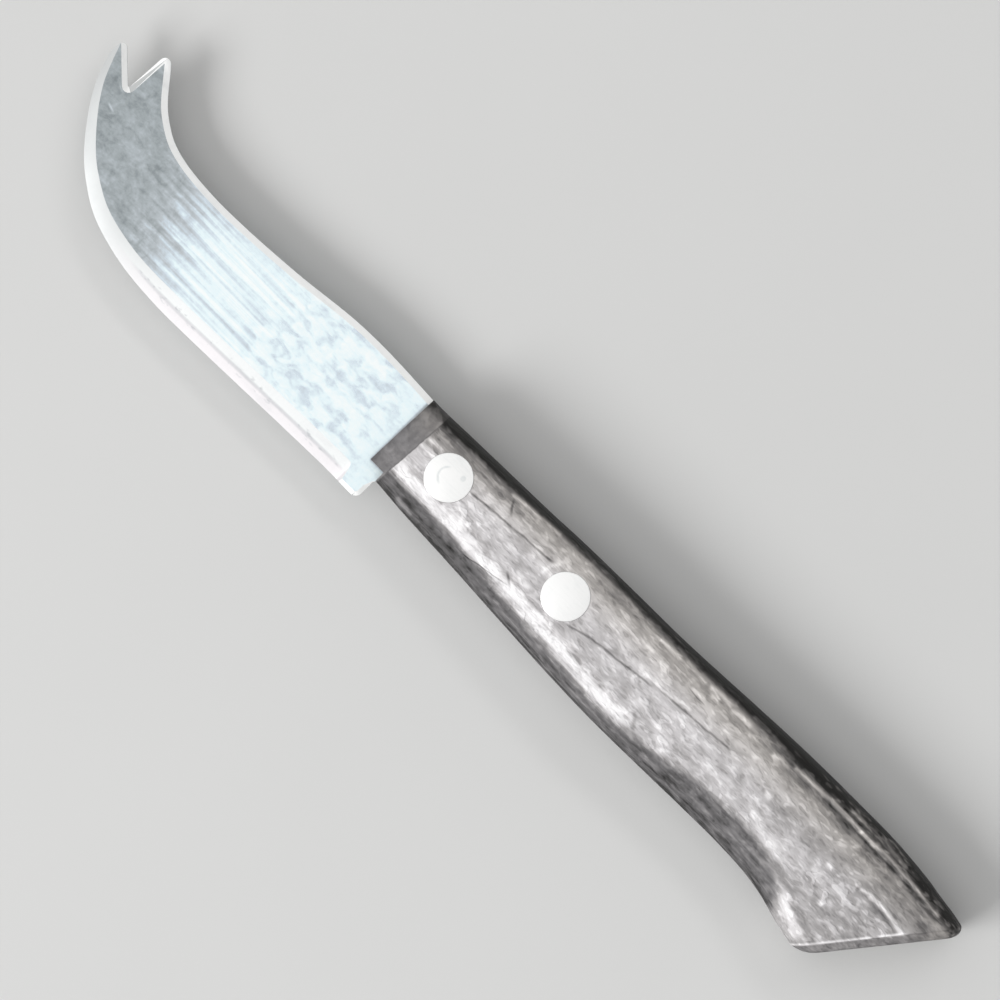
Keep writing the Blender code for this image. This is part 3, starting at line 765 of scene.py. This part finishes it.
@dataclass(frozen=True)
class GroundSteel:
    """Ground metal: the cutting bevels and the broken edges, brighter than the faces; the broken edges'
    near-white, non-metal colour is a painted highlight.
    """

    name: str
    colour: Colour = tone(229, 231, 231)
    edge: Colour = tone(227, 224, 226)
    fresh: Colour = tone(198, 200, 200)
    worn: Colour = tone(186, 188, 191)
    metallic: float = 1.0
    roughness: float = 0.3

    def build(self) -> bpy.types.Material:
        """The material."""
        material, graph, shader = new_material(self.name)
        x, _, _ = graph.axes()
        ridge, lower, _ = graph.attribute(Blade.slopes)
        strokes = graph.grain((1.8, 0.5, 0.5), (0.0, 2.0, 6.0), 3.0, 0.6)
        patches = graph.grain((0.14, 0.5, 0.5), (5.0, 0.0, 0.0), 2.0, 0.55)
        pits = graph.grain((0.7, 1.6, 0.5), (0.0, 3.0, 0.0), 2.0, 0.5).eased(0.1, 0.2)
        seam = ridge.eased(0.74, 0.95) * (0.6 + patches * 0.5) + pits * ridge.eased(0.3, 0.8) * 0.5
        seam = seam * x.between(-72.0, -27.0, 2.5)
        share = strokes * 0.24 + patches.eased(0.0, 0.3) * 0.2 + seam
        plain = graph.mixed(lower.eased(0.9, 1.0), self.colour, self.edge)
        plain = graph.mixed(x.eased(-62.0, -82.0), plain, self.fresh)
        set_inputs(
            graph, shader,
            Base_Color=graph.mixed(share.largest(0.0), plain, self.worn),
            Metallic=self.metallic,
            Roughness=self.roughness + strokes * 0.14,
            Normal=graph.bumps(strokes, 0.000012),
        )
        return material


@dataclass(frozen=True)
class StampedSteel:
    """The blade's thin sides, as the punch left them: a smooth band and a torn band, with upright marks."""

    name: str = "stamped_blade_side"
    smooth: Colour = tone(176, 180, 184)
    torn: Colour = tone(118, 120, 123)

    def build(self) -> bpy.types.Material:
        """The material."""
        material, graph, shader = new_material(self.name)
        _, _, height = graph.axes()
        marks = graph.grain((3.2, 3.2, 0.2), (0.0, 0.0, 2.0), 2.0, 0.6)
        tear = (height - Handle.half * MILLIMETRES + marks * 0.5).eased(0.15, -0.1)
        set_inputs(
            graph, shader,
            Base_Color=graph.mixed(tear * 0.7 + marks * 0.4, self.smooth, self.torn),
            Metallic=1.0,
            Roughness=0.36 + tear * 0.16,
            Normal=graph.bumps(marks, 0.00002),
        )
        return material


@dataclass(frozen=True)
class BrightRivet:
    """A rivet's flush-ground head, with faint arcs from the grinding wheel about its own middle."""

    name: str
    middle_x: float
    scored: float
    colour: Colour = tone(250, 250, 249)
    mark: Colour = tone(212, 217, 218)

    def build(self) -> bpy.types.Material:
        """The material."""
        material, graph, shader = new_material(self.name)
        x, y, _ = graph.axes()
        across = x - self.middle_x * MILLIMETRES
        radius = (across * across + y * y).root()
        haze = graph.grain((0.5, 0.5, 0.5), (self.middle_x, 0.0, 3.0), 2.0, 0.5)
        sweep = graph.grain((0.22, 2.4, 0.4), (0.0, 6.0, 0.0), 2.0, 0.6)
        arc = (radius + haze * 0.4).between(1.55, 1.9, 0.14) * (across + y * 0.2).eased(-0.4, -1.3)
        spot = ((across - 1.75) * (across - 1.75) + (y - 1.55) * (y - 1.55)).root().eased(0.62, 0.3)
        scores = (arc * 0.6 + spot * 0.45) * self.scored
        share = scores + haze * 0.5 + sweep * 0.35
        set_inputs(
            graph, shader,
            Base_Color=graph.mixed(share.largest(0.0), self.colour, self.mark),
            Metallic=0.7,
            Roughness=0.38 + sweep * 0.16,
            Normal=graph.bumps(sweep * 0.6 + haze * 0.4 - scores * 0.8, 0.000014),
        )
        return material


# Mesh helpers


def finished(
    name: str, shape: bmesh.types.BMesh, materials: list[bpy.types.Material], sharp: float
) -> bpy.types.Object:
    """An object at the origin made of a bmesh.

    Args:
        name: the piece's name.
        shape: its mesh, which is freed.
        materials: its material slots in order.
        sharp: edges that turn by more than this angle stay sharp.

    Returns:
        The object.
    """
    mesh = bpy.data.meshes.new(name)
    shape.to_mesh(mesh)
    shape.free()
    mesh.shade_smooth()
    mesh.set_sharp_from_angle(angle=sharp)
    for material in materials:
        mesh.materials.append(material)
    obj = bpy.data.objects.new(name, mesh)
    bpy.context.scene.collection.objects.link(obj)
    return obj


def turned(profile: Pairs, steps: int, middle: Vector) -> bmesh.types.BMesh:
    """A solid of revolution about an upright axis.

    Args:
        profile: (radius, height) points that start and end on the axis.
        steps: how many steps make the full turn.
        middle: where the axis stands, and the height that the profile's 0 is put at.

    Returns:
        The closed shape with its faces outwards.
    """
    shape = bmesh.new()
    points = [shape.verts.new((radius, 0, height)) for radius, height in profile]
    edges = [shape.edges.new(pair) for pair in zip(points[:-1], points[1:])]
    bmesh.ops.spin(
        shape, geom=points + edges, cent=(0, 0, 0), axis=(0, 0, 1),
        angle=2 * math.pi, steps=steps, use_merge=True,
    )
    bmesh.ops.remove_doubles(shape, verts=shape.verts, dist=MERGE)
    bmesh.ops.recalc_face_normals(shape, faces=shape.faces)
    bmesh.ops.translate(shape, verts=shape.verts, vec=middle)
    return shape


def carved(body: bpy.types.Object, cutters: list[bpy.types.Object]) -> bmesh.types.BMesh:
    """A piece with other shapes taken out of it.

    Args:
        body: the piece, which is removed.
        cutters: the shapes to take out, which are removed too. Their material indices carry over.

    Returns:
        The carved mesh.
    """
    tools = bpy.data.collections.new("cutters")
    bpy.context.scene.collection.children.link(tools)
    for cutter in cutters:
        tools.objects.link(cutter)
    modifier = body.modifiers.new("carve", "BOOLEAN")
    modifier.operation = "DIFFERENCE"
    modifier.solver = "EXACT"
    modifier.operand_type = "COLLECTION"
    modifier.collection = tools
    modifier.material_mode = "TRANSFER"
    view = bpy.context.evaluated_depsgraph_get()
    mesh = bpy.data.meshes.new_from_object(body.evaluated_get(view), depsgraph=view)
    shape = bmesh.new()
    shape.from_mesh(mesh)
    bpy.data.meshes.remove(mesh)
    for obj in (body, *cutters):
        bpy.data.objects.remove(obj)
    bpy.data.collections.remove(tools)
    return shape


# Handle


class WoodPart(Enum):
    """The handle's differently finished surfaces, in the order of its material slots."""

    OUTSIDE = 0
    INSIDE = 1
    END = 2


@dataclass(frozen=True)
class Section:
    """The cross-section on one leaning ring: where it crosses the rivet line, its sides and its flats."""

    x: float
    lean: float
    spine: float
    belly: float
    spine_flat: float
    belly_flat: float


@dataclass(frozen=True)
class Handle:
    """The handle: one piece of wood with a sloped front, a flared butt, a saw cut and rivet holes."""

    past = "past_flat"
    marked = "marks"
    half = 0.0065

    name: str = "wooden_handle"
    length: float = 0.1146
    front_x: float = -0.02395
    front_lean: float = math.radians(1.5)
    butt_rake: float = math.radians(51.7)
    butt_rounding: float = 0.0015
    butt_start_angle: float = math.radians(35)
    butt_steps: int = 8
    rounding_height: float = 0.0052
    chamfer_run: float = 0.0037
    chamfer_skew: float = 0.06
    lip: float = 0.00305
    saw_steps: int = 24
    flat_stations: int = 120
    search_steps: int = 30
    notch_reach: float = 0.00285
    notch_top: float = -0.0068
    rake_from_front: float = 0.0515
    rake_from_butt: float = 0.0115
    side_reach: float = 0.02
    ring_spacing: float = 0.00031
    flat_steps: int = 52
    corner_steps: int = 14
    side_steps: int = 8
    saw_half: float = 0.00079
    saw_radius: float = 0.06
    tang_end_x: float = 0.02605
    hole_gap: float = 0.00001
    sharp: float = math.radians(38)
    butt_facing: float = 0.995
    rear_x: float = 0.05
    spine_side: Pairs = (
        (-0.02395, 0.0070), (-0.02095, 0.0070), (-0.01595, 0.0072), (-0.00995, 0.0074), (0.00205, 0.0078),
        (0.01005, 0.0082), (0.02205, 0.0085), (0.03205, 0.0087), (0.05365, 0.0099), (0.06195, 0.0102),
        (0.06995, 0.0103), (0.07795, 0.0103), (0.08595, 0.0097), (0.08995, 0.0091), (0.09305, 0.0087),
        (0.09525, 0.0082), (0.09655, 0.0075), (0.09725, 0.0060),
    )
    belly_side: Pairs = (
        (-0.02395, -0.0086), (-0.01995, -0.0088), (-0.01445, -0.0092), (-0.00195, -0.0097),
        (0.01005, -0.0103), (0.02205, -0.0108), (0.03205, -0.0109), (0.05565, -0.0103), (0.06195, -0.0104),
        (0.06595, -0.0107), (0.06995, -0.0114), (0.07395, -0.0125), (0.07795, -0.0133), (0.08095, -0.0136),
    )
    spine_rounding: Pairs = (
        (-0.02395, 0.0027), (-0.01995, 0.0022), (0.00005, 0.0018), (0.03205, 0.0019),
        (0.05365, 0.0026), (0.07065, 0.0029), (0.09645, 0.0026),
    )
    belly_rounding: Pairs = (
        (-0.02395, 0.0029), (-0.01395, 0.0031), (0.00005, 0.0031), (0.02005, 0.0026), (0.03205, 0.0024),
        (0.05065, 0.0049), (0.05765, 0.0050), (0.06565, 0.0042), (0.07395, 0.0031), (0.09065, 0.0027),
    )

    @property
    def butt_x(self) -> float:
        """Where the butt crosses the rivet line."""
        return self.front_x + self.length

    @property
    def arris_x(self) -> float:
        """Where the flats end before the butt, on the rivet line."""
        return self.butt_x - self.butt_rounding / math.sin(self.butt_rake)

    def lean_at(self, x: float) -> float:
        """How far a ring leans, X per Y: square at the front, then turning smoothly to the butt's rake."""
        turn = smooth_step(self.front_x + self.rake_from_front, self.butt_x - self.rake_from_butt, x)
        return math.tan(self.front_lean) * (1 - turn) + turn / math.tan(self.butt_rake)

    def crossing(self, side: Pairs, x: float, lean: float) -> float:
        """Where a leaning ring meets one side.

        Args:
            side: the side's stations.
            x: where the ring crosses the rivet line.
            lean: how far it leans, X per Y.

        Returns:
            The Y of the meeting.
        """
        low, high = sorted((0.0, math.copysign(self.side_reach, side[0][1])))
        for _ in range(self.search_steps):
            y = (low + high) / 2
            if y > smooth_value(side, x + lean * y):
                high = y
            else:
                low = y
        return y

    def section(self, x: float) -> Section:
        """The cross-section on the ring that crosses the rivet line at x."""
        lean = self.lean_at(x)
        spine, belly = self.crossing(self.spine_side, x, lean), self.crossing(self.belly_side, x, lean)
        spine_flat = spine - smooth_value(self.spine_rounding, x + lean * spine)
        belly_flat = belly + smooth_value(self.belly_rounding, x + lean * belly)
        return Section(x, lean, spine, belly, spine_flat, belly_flat)

    def ring(self, section: Section, inset: float) -> list[Vector]:
        """The points of one ring about the middle plane.

        Args:
            section: the cross-section.
            inset: how far the whole outline is drawn in, as at the rounded butt.

        Returns:
            The points, anticlockwise from the middle of the spine side's upper corner.
        """
        top = self.half - inset
        corner_z = self.half - self.rounding_height
        height = top - corner_z
        spine, belly = section.spine - inset, section.belly + inset
        corners = (
            (spine, section.spine_flat, corner_z, 0), (belly, section.belly_flat, corner_z, 90),
            (belly, section.belly_flat, -corner_z, 180), (spine, section.spine_flat, -corner_z, 270),
        )
        points = []
        for side_y, flat_y, side_z, start in corners:
            for i in range(self.corner_steps + 1):
                angle = math.radians(start + 90 * i / self.corner_steps)
                y = flat_y + abs(side_y - flat_y) * math.cos(angle)
                points.append(Vector((section.x + section.lean * y, y, side_z + height * math.sin(angle))))
        ring = []
        for i, steps in enumerate((self.flat_steps, self.side_steps) * 2):
            arc = points[i * (self.corner_steps + 1):(i + 1) * (self.corner_steps + 1)]
            following = points[(i + 1) * (self.corner_steps + 1) % len(points)]
            ring += arc + [arc[-1].lerp(following, k / steps) for k in range(1, steps)]
        return ring

    def rings(self) -> list[list[Vector]]:
        """Every ring from the front to the butt, the last ones drawn in to round the butt off."""
        count = round((self.arris_x - self.front_x) / self.ring_spacing)
        rings = []
        for i in range(count + 1):
            x = self.front_x + (self.arris_x - self.front_x) * i / count
            rings.append(self.ring(self.section(x), 0.0))
        first_sine = math.sin(self.butt_start_angle)
        for i in range(1, self.butt_steps + 1):
            angle = self.butt_start_angle + (math.pi / 2 - self.butt_start_angle) * i / self.butt_steps
            along = (math.sin(angle) - first_sine) / (1 - first_sine)
            drop = 1 - math.cos(angle) / math.cos(self.butt_start_angle)
            x = self.arris_x + (self.butt_x - self.arris_x) * along
            rings.append(self.ring(self.section(x), self.butt_rounding * drop))
        return rings

    def blank(self) -> bmesh.types.BMesh:
        """The handle before it is sawn and drilled: a grid bent into a tube, closed, and sloped in front."""
        rings = self.rings()
        along, around = len(rings) - 1, len(rings[0])
        shape = bmesh.new()
        bmesh.ops.create_grid(shape, x_segments=along, y_segments=around, size=1.0)
        for vert in shape.verts:
            i, j = round((vert.co.x + 1) / 2 * along), round((vert.co.y + 1) / 2 * around)
            vert.co = rings[i][j % around]
        bmesh.ops.remove_doubles(shape, verts=shape.verts, dist=MERGE)
        bmesh.ops.holes_fill(shape, edges=[edge for edge in shape.edges if edge.is_boundary])
        bmesh.ops.recalc_face_normals(shape, faces=shape.faces)
        for up in (1, -1):
            self.slope_front(shape, up)
        bmesh.ops.translate(shape, verts=shape.verts, vec=(0, 0, self.half))
        return shape

    def slope_front(self, shape: bmesh.types.BMesh, up: int) -> None:
        """Cuts one slope of the front, from the lip beside the blade out to a broad face."""
        foot = Vector((self.front_x, 0, up * self.lip))
        rise = Vector((self.chamfer_run, 0, up * (self.half - self.lip)))
        outward = rise.cross(Vector((self.chamfer_skew, 1, 0))) * up
        bmesh.ops.bisect_plane(
            shape, geom=shape.verts[:] + shape.edges[:] + shape.faces[:], dist=MERGE,
            plane_co=foot, plane_no=outward, clear_outer=True,
        )
        bmesh.ops.holes_fill(shape, edges=[edge for edge in shape.edges if edge.is_boundary])

    def saw_cut(self) -> bmesh.types.BMesh:
        """The saw cut's shape: a slab right across the handle, which ends in the saw's arc."""
        centre_x = self.tang_end_x - self.saw_radius
        mouth = self.front_x - self.side_reach
        shape = bmesh.new()
        bmesh.ops.create_grid(shape, x_segments=1, y_segments=self.saw_steps, size=self.side_reach)
        for vert in shape.verts:
            end = centre_x + math.sqrt(self.saw_radius**2 - vert.co.y**2)
            vert.co.x = end if vert.co.x > 0 else mouth
        raised = bmesh.ops.extrude_face_region(shape, geom=shape.faces[:])
        top = [item for item in raised["geom"] if isinstance(item, bmesh.types.BMVert)]
        bmesh.ops.translate(shape, verts=top, vec=(0, 0, 2 * self.saw_half))
        bmesh.ops.translate(shape, verts=shape.verts, vec=(0, 0, self.half - self.saw_half))
        bmesh.ops.recalc_face_normals(shape, faces=shape.faces)
        return shape

    def heel_notch(self) -> bmesh.types.BMesh:
        """The shape of the square notch in the front corner, which leaves the blade's heel bare."""
        shape = bmesh.new()
        bmesh.ops.create_cube(shape, size=self.side_reach)
        corner = Vector((self.front_x + self.notch_reach, self.notch_top, self.half))
        middle = corner - Vector((self.side_reach, self.side_reach, 0)) / 2
        bmesh.ops.translate(shape, verts=shape.verts, vec=middle)
        return shape

    def rivet_hole(self, rivet: "Rivet") -> bmesh.types.BMesh:
        """The stepped hole that a rivet sits in, a little wider than the rivet."""
        wide, narrow = rivet.radius + self.hole_gap, rivet.barrel + self.hole_gap
        seat, past = self.half - rivet.head - self.hole_gap, self.half * 2
        profile = (
            (0, -past), (wide, -past), (wide, -seat), (narrow, -seat),
            (narrow, seat), (wide, seat), (wide, past), (0, past),
        )
        return turned(profile, rivet.steps, Vector((rivet.x, 0, self.half)))

    def past_flat(self, x: float, y: float) -> Vector:
        """How far a place is past the broad face's edges.

        Args:
            x: along the knife, in metres.
            y: across it.

        Returns:
            The distances past the spine's, the belly's and the nearer end's edge, in millimetres, less than
            zero on the broad face itself.
        """
        start = x
        for _ in range(4):
            start = x - self.lean_at(start) * y
        spine, belly = self.flats_at(start)
        slope = self.front_x + self.chamfer_run + self.chamfer_skew * y - x
        butt = (start - self.arris_x) * math.sin(self.butt_rake)
        return Vector((y - spine, belly - y, max(slope, butt))) * MILLIMETRES

    def flats_at(self, x: float) -> tuple[float, float]:
        """Where the flats end towards the spine and the belly on the ring at x, read between stored rings."""
        table = self.flats
        place = (x - table[0].x) / (table[1].x - table[0].x)
        i = min(max(int(place), 0), len(table) - 2)
        share = min(max(place - i, 0.0), 1.0)
        near, far = table[i], table[i + 1]
        return (
            near.spine_flat + (far.spine_flat - near.spine_flat) * share,
            near.belly_flat + (far.belly_flat - near.belly_flat) * share,
        )

    @cached_property
    def flats(self) -> list[Section]:
        """Sections at every millimetre or so."""
        count = self.flat_stations
        return [self.section(self.front_x + self.length * i / count) for i in range(count + 1)]

    def relief(self, place: Vector, past: Vector) -> float:
        """How deep the wood's surface lies under the smooth shape.

        Args:
            place: the point, in metres, with Z from the middle plane.
            past: its distances past the broad face's edges.

        Returns:
            The depth in millimetres, never less than zero.
        """
        x, y, z = place * MILLIMETRES
        waves = noise.noise((x * 0.06, y * 0.75, z * 0.75)) * 0.06
        strands = (1 - abs(noise.noise((x * 0.11 + 9, y * 1.5, z * 1.5)))) * 0.05
        lumps = noise.noise((x * 0.6, y * 0.8 + 5, z * 0.8)) * 0.06
        zone = smooth_step(-0.05, 0.3, noise.noise((x * 0.07 + 3, y * 0.15, z * 0.15)))
        grooves = max(crack.groove(x, y, z) for crack in CRACKS)
        edge = max(past.x, past.y)
        dents = max(noise.noise((x * 0.3, y * 0.5 + 9, z * 0.5)), 0.0) * 0.25
        dents *= math.exp(-((edge - 0.3) / 0.8) ** 2)
        depth = 0.1 + waves - strands + lumps * (0.4 + zone) + grooves + dents + self.ridge(x, y)
        calm = smooth_step(-0.1, -1.0, past.z)
        by_saw = smooth_step(0.9, 1.8, abs(z))
        return max(depth, 0.0) * calm * (0.25 + 0.75 * by_saw)

    @staticmethod
    def ridge(x: float, y: float) -> float:
        """The valleys beside the long ridge of hard grain near the spine, in millimetres."""
        line = 7.6 - 0.35 * smooth_step(80.0, 92.0, x) + 0.15 * math.sin(x * 0.45)
        window = smooth_step(54.0, 62.0, x) * smooth_step(94.0, 90.0, x)
        off = abs(y - line)
        return 0.12 * window * math.exp(-(((off - 0.75) / 0.4) ** 2))

    def wear(self, shape: bmesh.types.BMesh) -> None:
        """Sinks the outside by its relief, and stores each point's marks and distances past the flats."""
        past_layer = shape.verts.layers.float_vector.new(self.past)
        mark_layer = shape.verts.layers.float_vector.new(self.marked)
        moves = []
        for vert in shape.verts:
            past = self.past_flat(vert.co.x, vert.co.y)
            vert[past_layer] = past
            if vert.co.z > self.half:
                place = vert.co * MILLIMETRES
                vert[mark_layer] = Vector((sum(mark.at(place.x, place.y) for mark in MARKS), 0, 0))
            outer = [face for face in vert.link_faces if face.material_index == WoodPart.OUTSIDE.value]
            if not outer:
                continue
            normal = sum((face.normal for face in outer), Vector()).normalized()
            depth = self.relief(vert.co - Vector((0, 0, self.half)), past)
            moves.append((vert, normal * -depth / MILLIMETRES))
        for vert, move in moves:
            vert.co += move

    def build(self, rivets: "tuple[Rivet, ...]") -> bpy.types.Object:
        """The dressed handle.

        Args:
            rivets: the rivets whose holes it has.

        Returns:
            The piece, which stands for the CAD handle.
        """
        plain = bpy.data.materials.new("outside")
        inside = bpy.data.materials.new("inside")
        body = finished("handle_blank", self.blank(), [plain], math.pi)
        cutters = [
            finished("saw_cut", self.saw_cut(), [inside], math.pi),
            finished("heel_notch", self.heel_notch(), [inside], math.pi),
        ]
        for rivet in rivets:
            cutters.append(finished(f"hole_{rivet.name}", self.rivet_hole(rivet), [inside], math.pi))
        shape = carved(body, cutters)
        bmesh.ops.remove_doubles(shape, verts=shape.verts, dist=MERGE)
        self.wear(shape)
        self.mark_butt(shape)
        handle = finished(
            self.name, shape, [WornWood().build(), SawnWood().build(), EndGrain().build()], self.sharp
        )
        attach(handle, "root")
        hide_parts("handle")
        return handle

    def mark_butt(self, shape: bmesh.types.BMesh) -> None:
        """Gives the butt's end face the end grain's material slot."""
        end = Vector((math.sin(self.butt_rake), -math.cos(self.butt_rake), 0))
        for face in shape.faces:
            outside = face.material_index == WoodPart.OUTSIDE.value
            rear = face.calc_center_median().x > self.rear_x
            if outside and rear and face.normal.dot(end) > self.butt_facing:
                face.material_index = WoodPart.END.value


# Blade


@dataclass(frozen=True)
class Blade:
    """The blade and its tang, in the CAD solid's own shape, with a finish for each kind of surface."""

    slopes = "slopes"

    name: str = "ground_blade"
    flat: float = 0.9999
    wall: float = 0.3
    bevel_end_x: float = -0.0251
    tip_spine_y: float = 0.0105
    facing_edge: float = -0.2
    facing_tip: float = -0.75
    bright: Colour = tone(252, 253, 252)
    sharp: float = math.radians(40)

    def kind(self, face: bmesh.types.BMFace) -> SteelPart:
        """Which finish a face has, by how it is tilted and which side of the blade it is on."""
        upright = abs(face.normal.z)
        if upright > self.flat:
            return SteelPart.FACE
        if upright < self.wall:
            return SteelPart.WALL
        return SteelPart.BEVEL if self.faces_edge(face) else SteelPart.BREAK

    def faces_edge(self, face: bmesh.types.BMFace) -> bool:
        """Whether a sloped face belongs to the cutting edge's bevels and not to the spine or fork."""
        middle = face.calc_center_median()
        sideways = Vector((face.normal.x, face.normal.y)).normalized()
        tipward = sideways.x < self.facing_tip and middle.y < self.tip_spine_y
        return middle.x < self.bevel_end_x and (sideways.y < self.facing_edge or tipward)

    def build(self) -> bpy.types.Object:
        """The dressed blade, which stands for the CAD blade."""
        shape = bmesh.new()
        shape.from_mesh(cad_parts["blade"].data)
        bmesh.ops.remove_doubles(shape, verts=shape.verts, dist=WELD)
        bmesh.ops.dissolve_degenerate(shape, edges=shape.edges, dist=WELD)
        for face in shape.faces:
            face.material_index = self.kind(face).value
        self.mark_slopes(shape)
        finishes = (
            BrushedSteel(),
            GroundSteel("ground_bevel", metallic=0.35, roughness=0.45),
            # The broken edges get a near-white colour without metal's reflection: a painted highlight.
            GroundSteel("broken_edge_painted_highlight", *(self.bright,) * 3, metallic=0.0, roughness=0.5),
            StampedSteel(),
        )
        materials = [finish.build() for finish in finishes]
        blade = finished(self.name, shape, materials, self.sharp)
        self.sharpen(blade.data)
        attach(blade, "root")
        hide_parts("blade")
        return blade

    def mark_slopes(self, shape: bmesh.types.BMesh) -> None:
        """Stores which points lie between a bevel's two slopes, and which there or on the edge."""
        layer = shape.verts.layers.float_vector.new(self.slopes)
        for vert in shape.verts:
            kinds = {SteelPart(face.material_index) for face in vert.link_faces}
            one_side = len({face.normal.z > 0 for face in vert.link_faces}) == 1
            if SteelPart.BEVEL in kinds and SteelPart.FACE not in kinds:
                vert[layer] = Vector((float(kinds == {SteelPart.BEVEL} and one_side), 1.0, 0.0))

    @staticmethod
    def sharpen(mesh: bpy.types.Mesh) -> None:
        """Marks the edges between differently finished faces sharp, so that each keeps its own plane."""
        shape = bmesh.new()
        shape.from_mesh(mesh)
        for edge in shape.edges:
            kinds = {face.material_index for face in edge.link_faces}
            if len(kinds) > 1:
                edge.smooth = False
        shape.to_mesh(mesh)
        shape.free()


# Rivets


@dataclass(frozen=True)
class Rivet:
    """One cutlery rivet: a tube with a head below, and a pin with a head above, flush with the wood."""

    name: str
    x: float
    scored: float
    radius: float = 0.004
    head: float = 0.0016
    barrel: float = 0.0025
    bore: float = 0.0018
    gap: float = 0.00004
    rim: float = 0.0001
    rim_steps: int = 4
    steps: int = 96
    sharp: float = math.radians(35)

    def rim_points(self) -> list[tuple[float, float]]:
        """The rounded rim of a head, from its side up to its face, about the middle plane."""
        points = []
        for i in range(self.rim_steps + 1):
            angle = math.pi / 2 * i / self.rim_steps
            points.append((
                self.radius - self.rim * (1 - math.cos(angle)),
                Handle.half - self.rim * (1 - math.sin(angle)),
            ))
        return points

    def tube(self) -> Pairs:
        """The tube's profile: its head is below."""
        under, end = Handle.half - self.head, Handle.half - self.head - self.gap
        rim = [(radius, -height) for radius, height in reversed(self.rim_points())]
        return (
            (0, -Handle.half), *rim, (self.radius, -under), (self.barrel, -under),
            (self.barrel, end), (self.bore, end), (self.bore, -under), (0, -under),
        )

    def pin(self) -> Pairs:
        """The pin's profile: its head is above."""
        under, shank = Handle.half - self.head, self.bore - self.gap
        return (
            (0, -under + self.gap), (shank, -under + self.gap), (shank, under), (self.radius, under),
            *self.rim_points(), (0, Handle.half),
        )

    def build(self) -> list[bpy.types.Object]:
        """Both halves, each standing for its CAD node."""
        material = BrightRivet(f"{self.name}_metal", self.x, self.scored).build()
        pieces = []
        for half, profile in (("tube", self.tube()), ("pin", self.pin())):
            shape = turned(profile, self.steps, Vector((self.x, 0, Handle.half)))
            piece = finished(f"bright_{self.name}_{half}", shape, [material], self.sharp)
            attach(piece, "root")
            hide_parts(f"{self.name}_{half}")
            pieces.append(piece)
        return pieces


# Studio


@dataclass(frozen=True)
class Lamp:
    """A soft box that faces a point: where it is, how big, how strong."""

    name: str
    place: tuple[float, float, float]
    width: float
    height: float
    watts: float

    def build(self, target: Vector) -> None:
        """Adds the lamp, turned towards the target."""
        data = bpy.data.lights.new(self.name, "AREA")
        data.shape = "RECTANGLE"
        data.size, data.size_y = self.width, self.height
        data.energy = self.watts
        lamp = bpy.data.objects.new(self.name, data)
        lamp.location = self.place
        lamp.rotation_euler = (target - Vector(self.place)).to_track_quat("-Z", "Y").to_euler()
        bpy.context.scene.collection.objects.link(lamp)


@dataclass(frozen=True)
class Studio:
    """A pale floor, soft boxes and the camera, which looks straight down."""

    floor_size: float = 12.0
    floor_colour: Colour = tone(212, 212, 211)
    sky: float = 0.28
    bright_side: tuple[float, float, float] = (-0.75, -0.6, 0.28)
    bright_sky: float = 0.55
    bright_from: float = 0.2
    bright_to: float = 0.95
    floor_shade: float = 0.97
    floor_roughness: float = 0.85
    lens: float = 225.0
    sensor: float = 36.0
    camera_place: tuple[float, float, float] = (-0.005007, 0.003351, 1.0065)
    camera_turn: float = math.radians(45.49)
    lamps: tuple[Lamp, ...] = (
        Lamp("overhead_box", (0.0, -0.1, 1.9), 1.8, 1.8, 7.0),
        Lamp("key_box", (-0.5, -1.25, 1.0), 0.9, 0.7, 18.8),
        Lamp("rim_strip", (-0.1, 1.15, 1.28), 1.2, 0.3, 3.3),
    )

    def build(self) -> None:
        """Adds everything."""
        self.add_floor()
        for lamp in self.lamps:
            lamp.build(Vector((0, 0, Handle.half)))
        world = bpy.data.worlds.new("studio")
        bpy.context.scene.world = world
        world.use_nodes = True
        world.node_tree.nodes.clear()
        graph = Graph(world.node_tree)
        heading = graph.node("ShaderNodeTexCoord").outputs["Generated"]
        facing = graph.node(
            "ShaderNodeVectorMath", {"operation": "DOT_PRODUCT"}, {0: heading, 1: self.bright_side}
        )
        strength = Signal(graph, facing.outputs["Value"]).eased(self.bright_from, self.bright_to)
        strength = strength * self.bright_sky + self.sky
        glow = graph.node("ShaderNodeBackground", None, {"Color": (1.0, 1.0, 1.0), "Strength": strength})
        graph.node("ShaderNodeOutputWorld", None, {"Surface": glow.outputs["Background"]})
        self.add_camera()
        bpy.context.scene.view_settings.view_transform = "Standard"

    def add_floor(self) -> None:
        """A plain pale floor under the knife."""
        material, graph, shader = new_material("pale_floor")
        haze = graph.grain((0.02, 0.02, 0.02), (0.0, 0.0, 0.0), 2.0, 0.5) + NOISE_MIDDLE
        darker = tuple(value * self.floor_shade for value in self.floor_colour)
        colour = graph.mixed(haze, self.floor_colour, darker)
        set_inputs(graph, shader, Base_Color=colour, Roughness=self.floor_roughness)
        shape = bmesh.new()
        bmesh.ops.create_grid(shape, x_segments=1, y_segments=1, size=self.floor_size / 2)
        finished("floor", shape, [material], math.pi)

    def add_camera(self) -> None:
        """The camera straight above the knife, turned so that the knife lies aslant."""
        data = bpy.data.cameras.new("camera")
        data.lens, data.sensor_width = self.lens, self.sensor
        camera = bpy.data.objects.new("camera", data)
        camera.location = self.camera_place
        camera.rotation_euler = (0.0, 0.0, self.camera_turn)
        bpy.context.scene.collection.objects.link(camera)
        bpy.context.scene.camera = camera


def main() -> None:
    """Builds the studio and the knife's pieces in order, and reports each piece."""
    logging.basicConfig(level=logging.INFO, format="%(name)s: %(message)s")
    Studio().build()
    rivets = (Rivet("front_rivet", -RIVET_PITCH / 2, 1.0), Rivet("rear_rivet", RIVET_PITCH / 2, 0.0))
    pieces = [Blade().build(), Handle().build(rivets)]
    for rivet in rivets:
        pieces += rivet.build()
    for piece in pieces:
        piece.data.calc_loop_triangles()
        log.info("%s: %d triangles", piece.name, len(piece.data.loop_triangles))


if __name__ == "__main__":
    main()
